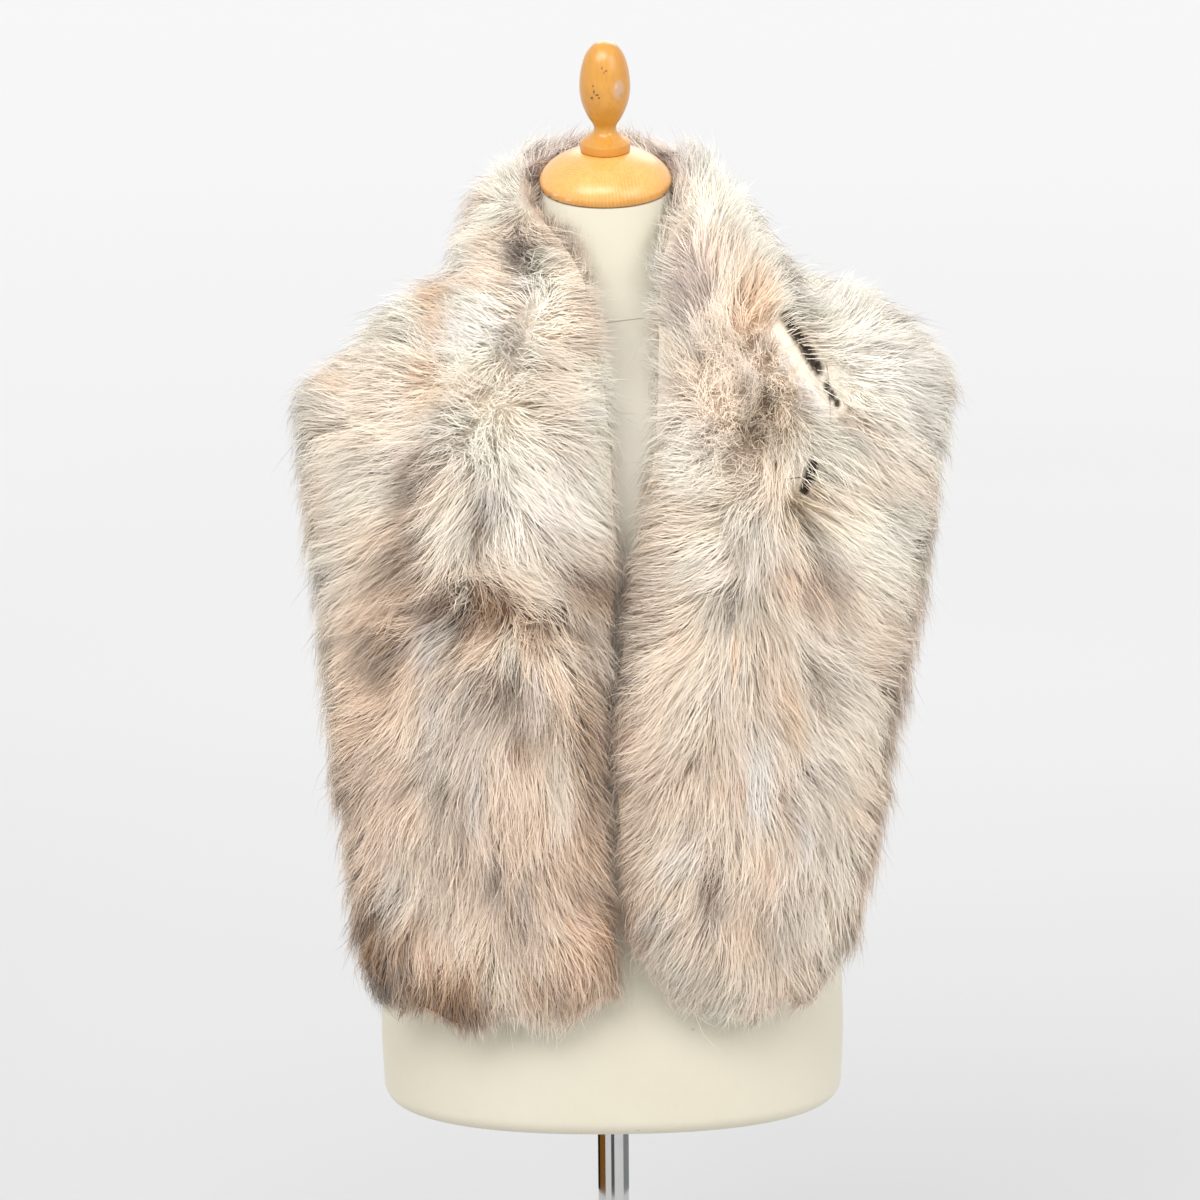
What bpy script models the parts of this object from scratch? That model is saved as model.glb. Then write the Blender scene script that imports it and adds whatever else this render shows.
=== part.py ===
"""A long-haired fur stole, draped over a limbless dress form on a short round-based stand.

Metres, +Z up. The origin is the middle of the base plate's underside. The wearer's front
faces -Y, so the wearer's right side is at -X. Heights called "height" are measured up from
the dress form's hip cut, and the rest from the surface that the stand is on.
"""

import math
from collections import namedtuple

import bpy
import bmesh
from mathutils import Matrix, Vector
from mathutils.bvhtree import BVHTree

# Stand
BASE_RADIUS = 0.150
BASE_THICKNESS = 0.009
BASE_EDGE_ROUND = 0.003
BASE_FOOT_BEVEL = 0.002
BOSS_RADIUS = 0.021
BOSS_TOP = 0.032
BOSS_FILLET = 0.006
BOSS_BEVEL = 0.002
POLE_RADIUS = 0.0125
POLE_SEAT = 0.012
FIT_GAP = 0.0003
TURNED_STEPS = 32
CORNER_STEPS = 4
SHARP_ANGLE = math.radians(40)

# Dress form
HIP_CUT = 0.330
SOCKET_DEPTH = 0.060
HIP_EDGE_ROUND = 0.014
FORM_SIDES = 36
SECTION_SQUARENESS = 2.3
BUST_SPREAD = 0.078
BUST_HEIGHT = 0.455
BUST_SIZE = 0.062
BUST_RISE = 0.016
NECK_LEAN_FROM = 0.650
NECK_TOP = 0.729
CAP_TILT = math.radians(13)

# Neck cap and finial, turned in wood
CAP_RADIUS = 0.0508
CAP_FOOT_RADIUS = 0.0495
CAP_RIM = 0.006
CAP_DOME_RISE = 0.0268
CAP_DOME_STEPS = 7
RING_RADIUS = 0.0193
RING_BAND = 0.0048
RING_BEVEL = 0.001

# Stole
STATION_STEPS = 5
COLLAR_COLUMNS = 9
SHOULDER_COLUMNS = 9
SEAM_GAP = 0.0008
SKIN_CLEARANCE = 0.005
EDGE_THICKNESS = 0.006
EDGE_ROUND = 0.15
HEM_ROUND = 0.42
ARCH_POWER = 2.3
VALLEY_WIDTH = 0.085
LOCK_RELIEF = 0.0042
HEM_LOCK_DROP = 0.005
HEM_LOCKS = 3
SKIN_ROUNDS = 10
DIRECTION_ROUNDS = 3

# The finial above its ring, measured up from the foot of the cap
TurnedRow = namedtuple("TurnedRow", "height radius")
EGG_ROWS = [
    TurnedRow(0.0393, 0.0150),
    TurnedRow(0.0425, 0.0104),
    TurnedRow(0.0474, 0.0085),
    TurnedRow(0.0514, 0.0094),
    TurnedRow(0.0575, 0.0130),
    TurnedRow(0.0670, 0.0172),
    TurnedRow(0.0760, 0.0191),
    TurnedRow(0.0830, 0.0194),
    TurnedRow(0.0910, 0.0187),
    TurnedRow(0.0980, 0.0174),
    TurnedRow(0.1060, 0.0146),
    TurnedRow(0.1120, 0.0104),
    TurnedRow(0.1152, 0.0060),
    TurnedRow(0.1165, 0.0000),
]

FormRow = namedtuple("FormRow", "height half_width front back")
FORM_ROWS = [
    FormRow(0.014, 0.1840, 0.116, 0.120),
    FormRow(0.065, 0.1855, 0.116, 0.128),
    FormRow(0.120, 0.1810, 0.111, 0.126),
    FormRow(0.175, 0.1640, 0.101, 0.108),
    FormRow(0.225, 0.1400, 0.093, 0.088),
    FormRow(0.275, 0.1260, 0.089, 0.078),
    FormRow(0.330, 0.1300, 0.095, 0.083),
    FormRow(0.390, 0.1420, 0.103, 0.095),
    FormRow(0.450, 0.1500, 0.108, 0.104),
    FormRow(0.510, 0.1580, 0.101, 0.110),
    FormRow(0.560, 0.1660, 0.088, 0.108),
    FormRow(0.590, 0.1620, 0.076, 0.098),
    FormRow(0.615, 0.1420, 0.067, 0.087),
    FormRow(0.640, 0.1080, 0.060, 0.076),
    FormRow(0.662, 0.0780, 0.055, 0.068),
    FormRow(0.685, 0.0590, 0.051, 0.060),
    FormRow(0.708, 0.0525, 0.0485, 0.053),
    FormRow(0.729, 0.0490, 0.0475, 0.0485),
]

# Each row is one section across the stole, from the hem up over the shoulder to the centre back:
# its inner edge by the neck opening, its outer edge, how far its middle bows out, the depth of
# its fur, where across it the two bands meet, and how deep the crease between them is, as a
# share of the fur's depth.
StoleRow = namedtuple(
    "StoleRow",
    "inner_x inner_y inner_height outer_x outer_y outer_height bow_x bow_y bow_height fur seam crease",
)
RIGHT_ROWS = [
    StoleRow(0.006, -0.122, 0.097, -0.189, -0.086, 0.096, -0.004, -0.022, 0.000, 0.030, 0.60, 0.00),
    StoleRow(-0.004, -0.122, 0.245, -0.202, -0.076, 0.245, -0.006, -0.026, 0.000, 0.034, 0.60, 0.00),
    StoleRow(-0.003, -0.127, 0.365, -0.209, -0.062, 0.365, -0.008, -0.032, 0.000, 0.037, 0.60, 0.05),
    StoleRow(0.008, -0.130, 0.460, -0.214, -0.050, 0.465, -0.010, -0.040, 0.004, 0.039, 0.62, 0.22),
    StoleRow(0.004, -0.118, 0.545, -0.223, -0.020, 0.535, -0.016, -0.040, 0.014, 0.040, 0.55, 0.42),
    StoleRow(-0.002, -0.098, 0.630, -0.222, 0.016, 0.546, -0.018, -0.026, 0.014, 0.038, 0.46, 0.50),
    StoleRow(-0.014, -0.068, 0.684, -0.196, 0.072, 0.516, -0.016, -0.004, 0.026, 0.032, 0.43, 0.46),
    StoleRow(-0.052, -0.018, 0.724, -0.142, 0.124, 0.485, -0.010, 0.014, 0.030, 0.036, 0.45, 0.36),
    StoleRow(-0.048, 0.044, 0.742, -0.078, 0.146, 0.466, -0.010, 0.040, 0.036, 0.036, 0.50, 0.30),
    StoleRow(0.000, 0.068, 0.746, 0.000, 0.152, 0.460, 0.000, 0.050, 0.040, 0.036, 0.50, 0.28),
]
LEFT_ROWS = [
    StoleRow(0.020, -0.122, 0.104, 0.178, -0.086, 0.102, 0.004, -0.022, 0.000, 0.030, 0.55, 0.00),
    StoleRow(0.003, -0.122, 0.245, 0.202, -0.074, 0.245, 0.006, -0.026, 0.000, 0.034, 0.55, 0.00),
    StoleRow(0.003, -0.127, 0.365, 0.218, -0.062, 0.365, 0.008, -0.032, 0.000, 0.037, 0.58, 0.05),
    StoleRow(0.018, -0.130, 0.460, 0.232, -0.050, 0.465, 0.010, -0.040, 0.004, 0.040, 0.60, 0.28),
    StoleRow(0.034, -0.118, 0.545, 0.241, -0.018, 0.545, 0.016, -0.040, 0.014, 0.042, 0.56, 0.60),
    StoleRow(0.035, -0.096, 0.625, 0.245, 0.022, 0.560, 0.022, -0.028, 0.022, 0.044, 0.49, 0.74),
    StoleRow(0.034, -0.066, 0.685, 0.214, 0.076, 0.542, 0.018, -0.008, 0.028, 0.041, 0.43, 0.68),
    StoleRow(0.052, -0.018, 0.725, 0.154, 0.124, 0.495, 0.010, 0.014, 0.032, 0.037, 0.44, 0.42),
    StoleRow(0.048, 0.044, 0.742, 0.080, 0.146, 0.470, 0.010, 0.040, 0.036, 0.036, 0.50, 0.30),
    StoleRow(0.000, 0.068, 0.746, 0.000, 0.152, 0.460, 0.000, 0.050, 0.040, 0.036, 0.50, 0.28),
]

# The rows of each side, which way round its skin is laid out (1, or -1 for its mirror image), how
# far its hem's corners are rounded up, the row where its front pelt is joined to the two above,
# and where its broad locks start.
StoleSide = namedtuple("StoleSide", "rows turn inner_corner outer_corner joined_at lock_phase")
SIDES = {
    "right": StoleSide(RIGHT_ROWS, 1, 0.022, 0.032, 3.0, 0.0),
    "left": StoleSide(LEFT_ROWS, -1, 0.060, 0.058, 3.6, 1.7),
}

# The broad locks: how each wave turns, in radians, over the stole's width and over a row of its
# length, how much of its side's own phase it takes, and its share of the relief.
LockWave = namedtuple("LockWave", "across along phase share")
LOCK_WAVES = [
    LockWave(9.0, 2.6, 1.0, 0.36),
    LockWave(16.0, -4.4, 2.0, 0.36),
    LockWave(5.0, 6.4, 0.0, 0.28),
]

# Colours, roughness and metallic value of each material
FINISHES = {
    "fur": ((0.74, 0.64, 0.53, 1.0), 0.70, 0.0),
    "jersey": ((0.86, 0.83, 0.71, 1.0), 0.85, 0.0),
    "wood": ((0.80, 0.50, 0.17, 1.0), 0.35, 0.0),
    "chrome": ((0.72, 0.72, 0.73, 1.0), 0.12, 1.0),
}


def clear_scene():
    for obj in list(bpy.data.objects):
        bpy.data.objects.remove(obj)


def make_material(name):
    colour, roughness, metallic = FINISHES[name]
    material = bpy.data.materials.new(name)
    material.use_nodes = True
    shader = material.node_tree.nodes["Principled BSDF"]
    shader.inputs["Base Color"].default_value = colour
    shader.inputs["Roughness"].default_value = roughness
    shader.inputs["Metallic"].default_value = metallic
    material.diffuse_color = colour
    return material


def add_object(name, mesh, material):
    mesh.materials.clear()
    mesh.materials.append(material)
    obj = bpy.data.objects.new(name, mesh)
    bpy.context.scene.collection.objects.link(obj)
    return obj


def mesh_from(name, points, faces):
    mesh = bpy.data.meshes.new(name)
    mesh.from_pydata([tuple(p) for p in points], [], faces)
    mesh.validate()
    shape = bmesh.new()
    shape.from_mesh(mesh)
    bmesh.ops.recalc_face_normals(shape, faces=shape.faces)
    shape.to_mesh(mesh)
    shape.free()
    mesh.shade_smooth()
    mesh.set_sharp_from_angle(angle=SHARP_ANGLE)
    return mesh


def catmull(before, start, end, after, share):
    """The value at share of the way from start to end, on a smooth curve through all four."""
    slope_in = (end - before) / 2
    slope_out = (after - start) / 2
    square, cube = share * share, share**3
    return (
        start * (2 * cube - 3 * square + 1)
        + end * (3 * square - 2 * cube)
        + slope_in * (cube - 2 * square + share)
        + slope_out * (cube - square)
    )


def row_at(rows, place):
    """The row at place, counted in rows from the first, with every column interpolated smoothly."""
    index = min(int(place), len(rows) - 2)
    share = place - index
    start, end = rows[index], rows[index + 1]
    before = rows[max(index - 1, 0)]
    after = rows[min(index + 2, len(rows) - 1)]
    return type(start)(*(catmull(b, s, e, a, share) for b, s, e, a in zip(before, start, end, after)))


def spun(name, profile):
    """The mesh of a closed profile of (radius, height) pairs turned about Z. Ends at radius 0 are poles."""
    points, faces, rings = [], [], []
    for radius, height in profile:
        if radius == 0:
            rings.append([len(points)])
            points.append((0, 0, height))
            continue
        rings.append(list(range(len(points), len(points) + TURNED_STEPS)))
        for step in range(TURNED_STEPS):
            angle = 2 * math.pi * step / TURNED_STEPS
            points.append((radius * math.cos(angle), radius * math.sin(angle), height))
    for lower, upper in zip(rings, rings[1:]):
        for step in range(TURNED_STEPS):
            following = (step + 1) % TURNED_STEPS
            if len(lower) == 1:
                faces.append((lower[0], upper[following], upper[step]))
            elif len(upper) == 1:
                faces.append((lower[step], lower[following], upper[0]))
            else:
                faces.append((lower[step], lower[following], upper[following], upper[step]))
    return mesh_from(name, points, faces)


def make_base(material):
    """The round plate with a low boss that the pole stands in."""
    profile = [(0, 0), (BASE_RADIUS - BASE_FOOT_BEVEL, 0), (BASE_RADIUS, BASE_FOOT_BEVEL)]
    for step in range(CORNER_STEPS):
        angle = math.radians(90 * step / (CORNER_STEPS - 1))
        radius = BASE_RADIUS - BASE_EDGE_ROUND * (1 - math.cos(angle))
        profile.append((radius, BASE_THICKNESS - BASE_EDGE_ROUND * (1 - math.sin(angle))))
    profile += [(BOSS_RADIUS + BOSS_FILLET, BASE_THICKNESS), (BOSS_RADIUS, BASE_THICKNESS + BOSS_FILLET)]
    profile += [(BOSS_RADIUS, BOSS_TOP - BOSS_BEVEL), (BOSS_RADIUS - BOSS_BEVEL, BOSS_TOP)]
    bore = POLE_RADIUS + FIT_GAP
    profile += [(bore, BOSS_TOP), (bore, POLE_SEAT), (0, POLE_SEAT)]
    return add_object("base_plate", spun("base_plate", profile), material)


def make_pole(material):
    foot = POLE_SEAT + FIT_GAP
    top = HIP_CUT + SOCKET_DEPTH - FIT_GAP
    profile = [(0, foot), (POLE_RADIUS, foot), (POLE_RADIUS, top), (0, top)]
    return add_object("pole", spun("pole", profile), material)


def signed_power(value, power):
    return math.copysign(abs(value) ** power, value)


def form_ring(row):
    """One section of the dress form: wider than deep, squarish, with the bust at the front."""
    power = 2 / SECTION_SQUARENESS
    ring = []
    for side in range(FORM_SIDES):
        angle = 2 * math.pi * side / FORM_SIDES
        x = row.half_width * signed_power(math.cos(angle), power)
        depth = row.back if math.sin(angle) > 0 else row.front
        y = depth * signed_power(math.sin(angle), power)
        if y < 0:
            across = (abs(x) - BUST_SPREAD) / BUST_SIZE
            along = (row.height - BUST_HEIGHT) / BUST_SIZE
            y -= BUST_RISE * math.exp(-across * across - along * along)
        lean = max(0.0, (row.height - NECK_LEAN_FROM) / (NECK_TOP - NECK_LEAN_FROM))
        z = HIP_CUT + row.height + y * math.tan(CAP_TILT) * lean
        ring.append(Vector((x, y, z)))
    return ring


def rings_body(name, rings):
    """One closed body through rings of the same number of points, with both ends filled."""
    count = len(rings[0])
    points = [p for ring in rings for p in ring]
    faces = [tuple(range(count)), tuple(range(len(points) - count, len(points)))]
    for level in range(len(rings) - 1):
        low, high = level * count, (level + 1) * count
        for side in range(count):
            following = (side + 1) % count
            faces.append((low + side, low + following, high + following, high + side))
    return mesh_from(name, points, faces)


def level_ring(half_width, front, back, z):
    ring = form_ring(FormRow(0.0, half_width, front, back))
    return [Vector((p.x, p.y, z)) for p in ring]


def circle_ring(radius, z):
    power = 2 / SECTION_SQUARENESS
    ring = []
    for side in range(FORM_SIDES):
        angle = 2 * math.pi * side / FORM_SIDES
        direction = Vector((signed_power(math.cos(angle), power), signed_power(math.sin(angle), power), 0))
        ring.append(direction.normalized() * radius + Vector((0, 0, z)))
    return ring


def make_form(material):
    """The dress form's body, from the pole's socket out over the hip cut and up to the neck."""
    bore = POLE_RADIUS + FIT_GAP
    rings = [circle_ring(bore, HIP_CUT + SOCKET_DEPTH), circle_ring(bore, HIP_CUT)]
    hip = FORM_ROWS[0]
    for step in range(CORNER_STEPS):
        angle = math.radians(90 * step / CORNER_STEPS)
        inset = HIP_EDGE_ROUND * (1 - math.sin(angle))
        z = HIP_CUT + HIP_EDGE_ROUND * (1 - math.cos(angle))
        rings.append(level_ring(hip.half_width - inset, hip.front - inset, hip.back - inset, z))
    rings += [form_ring(row) for row in FORM_ROWS]
    return add_object("dress_form", rings_body("dress_form", rings), material)


def cap_frame():
    """Places what is turned about Z on the neck's sloping top."""
    slope = Matrix.Rotation(CAP_TILT, 4, "X")
    return Matrix.Translation((0, 0, HIP_CUT + NECK_TOP)) @ slope


def dome_height(radius):
    """Height of the cap's dome above its foot at a radius."""
    return CAP_RIM + CAP_DOME_RISE * math.sqrt(1 - (radius / CAP_RADIUS) ** 2)


def make_cap(material):
    """The wooden neck cap: a low dome with a flat top that the finial's ring stands on."""
    seat = dome_height(RING_RADIUS)
    profile = [(0, FIT_GAP), (CAP_FOOT_RADIUS, FIT_GAP), (CAP_RADIUS, CAP_RIM)]
    last = math.acos(RING_RADIUS / CAP_RADIUS)
    for step in range(1, CAP_DOME_STEPS):
        radius = CAP_RADIUS * math.cos(last * step / CAP_DOME_STEPS)
        profile.append((radius, dome_height(radius)))
    profile += [(RING_RADIUS, seat), (0, seat)]
    cap = add_object("neck_cap", spun("neck_cap", profile), material)
    cap.matrix_world = cap_frame()
    return cap


def make_finial(material):
    """The finial: a flat ring on the cap, a hollow-sided stem and an egg."""
    foot = dome_height(RING_RADIUS) + FIT_GAP
    profile = [(0, foot), (RING_RADIUS - RING_BEVEL, foot), (RING_RADIUS, foot + RING_BEVEL)]
    profile += [(RING_RADIUS, foot + RING_BAND)]
    profile += [(row.radius, row.height) for row in EGG_ROWS]
    finial = add_object("finial", spun("finial", profile), material)
    finial.matrix_world = cap_frame()
    return finial


def edge_rise(share):
    """0 at an edge, rising as a quarter circle to 1 one rounding in from it."""
    inwards = min(max(share, 0.0), 1.0)
    return math.sqrt(1 - (1 - inwards) ** 2)


def skin_point(side, place, across):
    """A point of the stole's leather side, at a place in rows from the hem and a share of its width."""
    row = row_at(side.rows, place)
    inner = Vector((row.inner_x, row.inner_y, row.inner_height))
    outer = Vector((row.outer_x, row.outer_y, row.outer_height))
    arch = 1 - abs(2 * across - 1) ** ARCH_POWER
    point = inner.lerp(outer, across) + Vector((row.bow_x, row.bow_y, row.bow_height)) * arch
    near_hem = max(0.0, 1 - place) ** 2
    corner = side.inner_corner if across < 0.5 else side.outer_corner
    waves = math.sin(2 * math.pi * HEM_LOCKS * across + side.lock_phase)
    point.z += near_hem * (corner * abs(2 * across - 1) ** 3 + HEM_LOCK_DROP * waves)
    point.z += HIP_CUT
    return point


def clear_of_form(point, form_tree):
    """The point itself, or the nearest one that clears the dress form."""
    on_form, out, _, _ = form_tree.find_nearest(point)
    clearance = (point - on_form).dot(out)
    return point + out * max(0.0, SKIN_CLEARANCE - clearance)


def eased(grid, rounds, settle):
    """The grid with each value drawn towards its neighbours, and settled after each round.

    The hem and the centre back, which are the grid's first and last rows, keep their place.
    """
    last_row, last_column = len(grid) - 1, len(grid[0]) - 1
    for _ in range(rounds):
        drawn = [list(row) for row in grid]
        for i in range(1, last_row):
            for j in range(last_column + 1):
                near = [grid[i - 1][j], grid[i + 1][j]]
                if 0 < j < last_column:
                    near += [grid[i][j - 1], grid[i][j + 1]]
                middle = sum(near, Vector()) / len(near)
                drawn[i][j] = grid[i][j].lerp(middle, 0.5)
        grid = [[settle(value) for value in row] for row in drawn]
    return grid


def fur_direction(skin, i, j):
    """Straight out from the skin's grid at one of its points, on the wearer's right side."""
    along = skin[min(i + 1, len(skin) - 1)][j] - skin[max(i - 1, 0)][j]
    if i == len(skin) - 1:
        # The other side mirrors this one at the centre back
        along = Vector((along.x, 0, 0))
    across = skin[i][min(j + 1, len(skin[0]) - 1)] - skin[i][max(j - 1, 0)]
    return along.cross(across).normalized()


def stole_side(side, form_tree):
    """Both faces of one side's wall as grids, from the hem to the centre back, and the row of its join."""
    last = len(side.rows) - 1
    join = round(side.joined_at * STATION_STEPS)
    upper = round((last - side.joined_at) * STATION_STEPS)
    places = [side.joined_at * i / join for i in range(join)]
    places += [side.joined_at + (last - side.joined_at) * i / upper for i in range(upper + 1)]
    spots = []
    for place in places:
        seam = row_at(side.rows, place).seam
        shares = [seam * j / COLLAR_COLUMNS for j in range(COLLAR_COLUMNS)]
        shares += [seam + (1 - seam) * j / SHOULDER_COLUMNS for j in range(SHOULDER_COLUMNS + 1)]
        spots.append([(place, share) for share in shares])
    skin = [[clear_of_form(skin_point(side, *spot), form_tree) for spot in row] for row in spots]
    skin = eased(skin, SKIN_ROUNDS, lambda point: clear_of_form(point, form_tree))
    columns = range(len(skin[0]))
    outs = [[fur_direction(skin, i, j) * side.turn for j in columns] for i in range(len(skin))]
    outs = eased(outs, DIRECTION_ROUNDS, lambda out: out.normalized())
    fur = []
    for skin_row, out_row, spot_row in zip(skin, outs, spots):
        fur.append([p + out * fur_depth(side, *spot) for p, out, spot in zip(skin_row, out_row, spot_row)])
    return skin, fur, join


def fur_depth(side, place, across):
    """The depth of the fur above the skin: rounded at the edges, creased at the seam, with locks."""
    row = row_at(side.rows, place)
    rounding = edge_rise(across / EDGE_ROUND) * edge_rise((1 - across) / EDGE_ROUND)
    rounding *= edge_rise(place / HEM_ROUND)
    crease = row.crease * math.exp(-(((across - row.seam) / VALLEY_WIDTH) ** 2))
    locks = 0.0
    for wave in LOCK_WAVES:
        turn = wave.across * across + wave.along * place + wave.phase * side.lock_phase
        locks += wave.share * math.sin(turn)
    depth = row.fur - EDGE_THICKNESS + LOCK_RELIEF * locks
    return EDGE_THICKNESS + depth * rounding * (1 - crease)


def cut_out(grid, rows, columns):
    """The stretch of a grid between two rows and two columns, drawn in by half a gap along its seams."""
    first_row, last_row = rows
    first, last = columns
    piece = [list(row[first : last + 1]) for row in grid[first_row : last_row + 1]]
    half = SEAM_GAP / 2
    if first > 0:
        for row in piece:
            row[0] = row[0] + (row[1] - row[0]).normalized() * half
    if last < len(grid[0]) - 1:
        for row in piece:
            row[-1] = row[-1] + (row[-2] - row[-1]).normalized() * half
    if first_row > 0:
        piece[0] = [p + (q - p).normalized() * half for p, q in zip(piece[0], piece[1])]
    piece[-1] = [p + (q - p).normalized() * half for p, q in zip(piece[-1], piece[-2])]
    return piece


def pelt(name, faces_of_wall, rows, columns, material):
    """One pelt as a closed wall, between its skin and the ends of its fur."""
    skin, fur = [cut_out(grid, rows, columns) for grid in faces_of_wall]
    height, width = len(skin), len(skin[0])
    points = [p for grid in (skin, fur) for row in grid for p in row]
    count = height * width
    faces = []
    for i in range(height - 1):
        for j in range(width - 1):
            a, b = i * width + j, (i + 1) * width + j
            faces.append((a, a + 1, b + 1, b))
            faces.append((count + a, count + b, count + b + 1, count + a + 1))
    rim = list(range(width)) + [i * width + width - 1 for i in range(1, height)]
    rim += [(height - 1) * width + j for j in range(width - 2, -1, -1)]
    rim += [i * width for i in range(height - 2, 0, -1)]
    for pair in zip(rim, rim[1:] + rim[:1]):
        # Both pelts at a seam split its twisted quads along the same diagonal
        low, high = min(pair), max(pair)
        faces += [(low, count + low, count + high), (low, count + high, high)]
    return add_object(name, mesh_from(name, points, faces), material)


def make_stole(form, material):
    """Three pelts on each side: the long front, the collar band by the neck and the shoulder band."""
    form_tree = BVHTree.FromPolygons(
        [v.co for v in form.data.vertices], [p.vertices for p in form.data.polygons]
    )
    for name, side in SIDES.items():
        skin, fur, join = stole_side(side, form_tree)
        back, edge = len(skin) - 1, len(skin[0]) - 1
        pelt(f"front_pelt_{name}", (skin, fur), (0, join), (0, edge), material)
        pelt(f"collar_pelt_{name}", (skin, fur), (join, back), (0, COLLAR_COLUMNS), material)
        pelt(f"shoulder_pelt_{name}", (skin, fur), (join, back), (COLLAR_COLUMNS, edge), material)


def main():
    clear_scene()
    materials = {name: make_material(name) for name in FINISHES}
    make_base(materials["chrome"])
    make_pole(materials["chrome"])
    form = make_form(materials["jersey"])
    make_cap(materials["wood"])
    make_finial(materials["wood"])
    make_stole(form, materials["fur"])


main()
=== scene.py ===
# Long-haired fur stole on a dress form: the looks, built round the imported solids
import math

import bmesh
import bpy
import numpy as np
from mathutils import Matrix, Vector, kdtree, noise
from mathutils.bvhtree import BVHTree


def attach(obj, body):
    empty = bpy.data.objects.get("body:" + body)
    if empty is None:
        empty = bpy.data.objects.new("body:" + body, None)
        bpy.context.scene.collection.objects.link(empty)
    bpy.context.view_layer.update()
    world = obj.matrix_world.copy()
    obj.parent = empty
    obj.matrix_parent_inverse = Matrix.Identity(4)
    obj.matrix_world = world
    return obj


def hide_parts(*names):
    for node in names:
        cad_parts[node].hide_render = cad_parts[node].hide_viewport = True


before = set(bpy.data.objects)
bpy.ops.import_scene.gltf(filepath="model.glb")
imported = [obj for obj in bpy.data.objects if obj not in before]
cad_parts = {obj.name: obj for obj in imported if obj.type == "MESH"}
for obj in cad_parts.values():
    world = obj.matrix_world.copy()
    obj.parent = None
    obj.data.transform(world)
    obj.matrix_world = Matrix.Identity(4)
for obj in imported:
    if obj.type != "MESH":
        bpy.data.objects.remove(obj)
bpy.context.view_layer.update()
rng = np.random.default_rng(11)

# Camera, at the photograph's viewing angle
photoView = {
    "size": 1200,  # pixels along each side of the photograph
    "frameWidth": 0.944,  # metres across it at the target
    "distance": 3.0,
    "elevation": math.radians(12),
    "roll": math.radians(0.5),
    "target": Vector((-0.007, 0, 0.735)),
    "sensor": 36.0,
}


def cameraPlace():
    up = photoView["elevation"]
    back = Vector((0, -math.cos(up), math.sin(up)))
    place = Matrix.Translation(photoView["target"] + back * photoView["distance"])
    turn = (-back).to_track_quat("-Z", "Y").to_matrix().to_4x4()
    return place @ turn @ Matrix.Rotation(-photoView["roll"], 4, "Z")


cameraMatrix = cameraPlace()
cameraSpot = np.array(cameraMatrix.translation)
cameraTurn = np.array(cameraMatrix.to_3x3())
focalPixels = photoView["size"] * photoView["distance"] / photoView["frameWidth"]
photoMiddle = photoView["size"] / 2


def makeCamera():
    data = bpy.data.cameras.new("camera")
    data.sensor_width = photoView["sensor"]
    data.lens = photoView["sensor"] * photoView["distance"] / photoView["frameWidth"]
    data.clip_end = 200
    camera = bpy.data.objects.new("camera", data)
    camera.matrix_world = cameraMatrix
    bpy.context.scene.collection.objects.link(camera)
    bpy.context.scene.camera = camera


def toPhoto(points):  # where points of the frame are seen in the photograph, in its pixels
    local = (points - cameraSpot) @ cameraTurn
    x = photoMiddle + focalPixels * local[:, 0] / -local[:, 2]
    y = photoMiddle - focalPixels * local[:, 1] / -local[:, 2]
    return np.stack([x, y], 1)


def turnedToCamera(points, normals):  # 1 where a surface faces the camera, -1 where it faces away
    return (normals * unit(cameraSpot - points)).sum(1)


def unit(vectors):
    return vectors / np.maximum(np.linalg.norm(vectors, axis=-1, keepdims=True), 1e-12)


def photoRays(pixels):
    across, up = (pixels[:, 0] - photoMiddle) / focalPixels, (photoMiddle - pixels[:, 1]) / focalPixels
    return unit(np.stack([across, up, -np.ones(len(pixels))], 1) @ cameraTurn.T)


def seenSpots(tree, pixels):  # where pixels of the photograph meet a surface
    rays = photoRays(np.array(pixels, float))
    hits = [tree.ray_cast(Vector(cameraSpot), Vector(ray))[0] for ray in rays]
    return [tuple(hit) for hit in hits if hit is not None]


weldDistance = 1e-5


def weldedArrays(node):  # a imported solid's corners and triangles
    shape = bmesh.new()
    shape.from_mesh(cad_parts[node].data)
    bmesh.ops.remove_doubles(shape, verts=shape.verts, dist=weldDistance)
    points = np.array([v.co[:] for v in shape.verts])
    faces = np.array([[v.index for v in face.verts] for face in shape.faces])
    shape.free()
    return points, faces


def treeOf(points, faces):
    return BVHTree.FromPolygons([Vector(p) for p in points], faces.tolist())


def linear(colour):  # from screen values, 0 to 255
    return tuple(((c / 255 + 0.055) / 1.055) ** 2.4 for c in colour)


# Shader helpers
def newMaterial(name, values):
    material = bpy.data.materials.new(name)
    material.use_nodes = True
    shader = material.node_tree.nodes["Principled BSDF"]
    for socket, value in values.items():
        shader.inputs[socket].default_value = value
    return material, material.node_tree, shader


def addNode(tree, kind, links=None, **values):
    node = tree.nodes.new(kind)
    for name, value in values.items():
        setattr(node, name, value)
    for socket, source in (links or {}).items():
        if isinstance(source, bpy.types.NodeSocket):
            tree.links.new(source, node.inputs[socket])
        else:
            node.inputs[socket].default_value = source
    return node


def newGroup(name, inputs, outputs):
    tree = bpy.data.node_groups.new(name, "ShaderNodeTree")
    for label, kind, value in inputs:
        socket = tree.interface.new_socket(name=label, in_out="INPUT", socket_type=kind)
        if value is not None:
            socket.default_value = value
    for label, kind in outputs:
        tree.interface.new_socket(name=label, in_out="OUTPUT", socket_type=kind)
    return tree, tree.nodes.new("NodeGroupInput").outputs, tree.nodes.new("NodeGroupOutput").inputs


def vectorSocket(label):
    return label, "NodeSocketVector", None


def floatSocket(label, value):
    return label, "NodeSocketFloat", value


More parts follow.
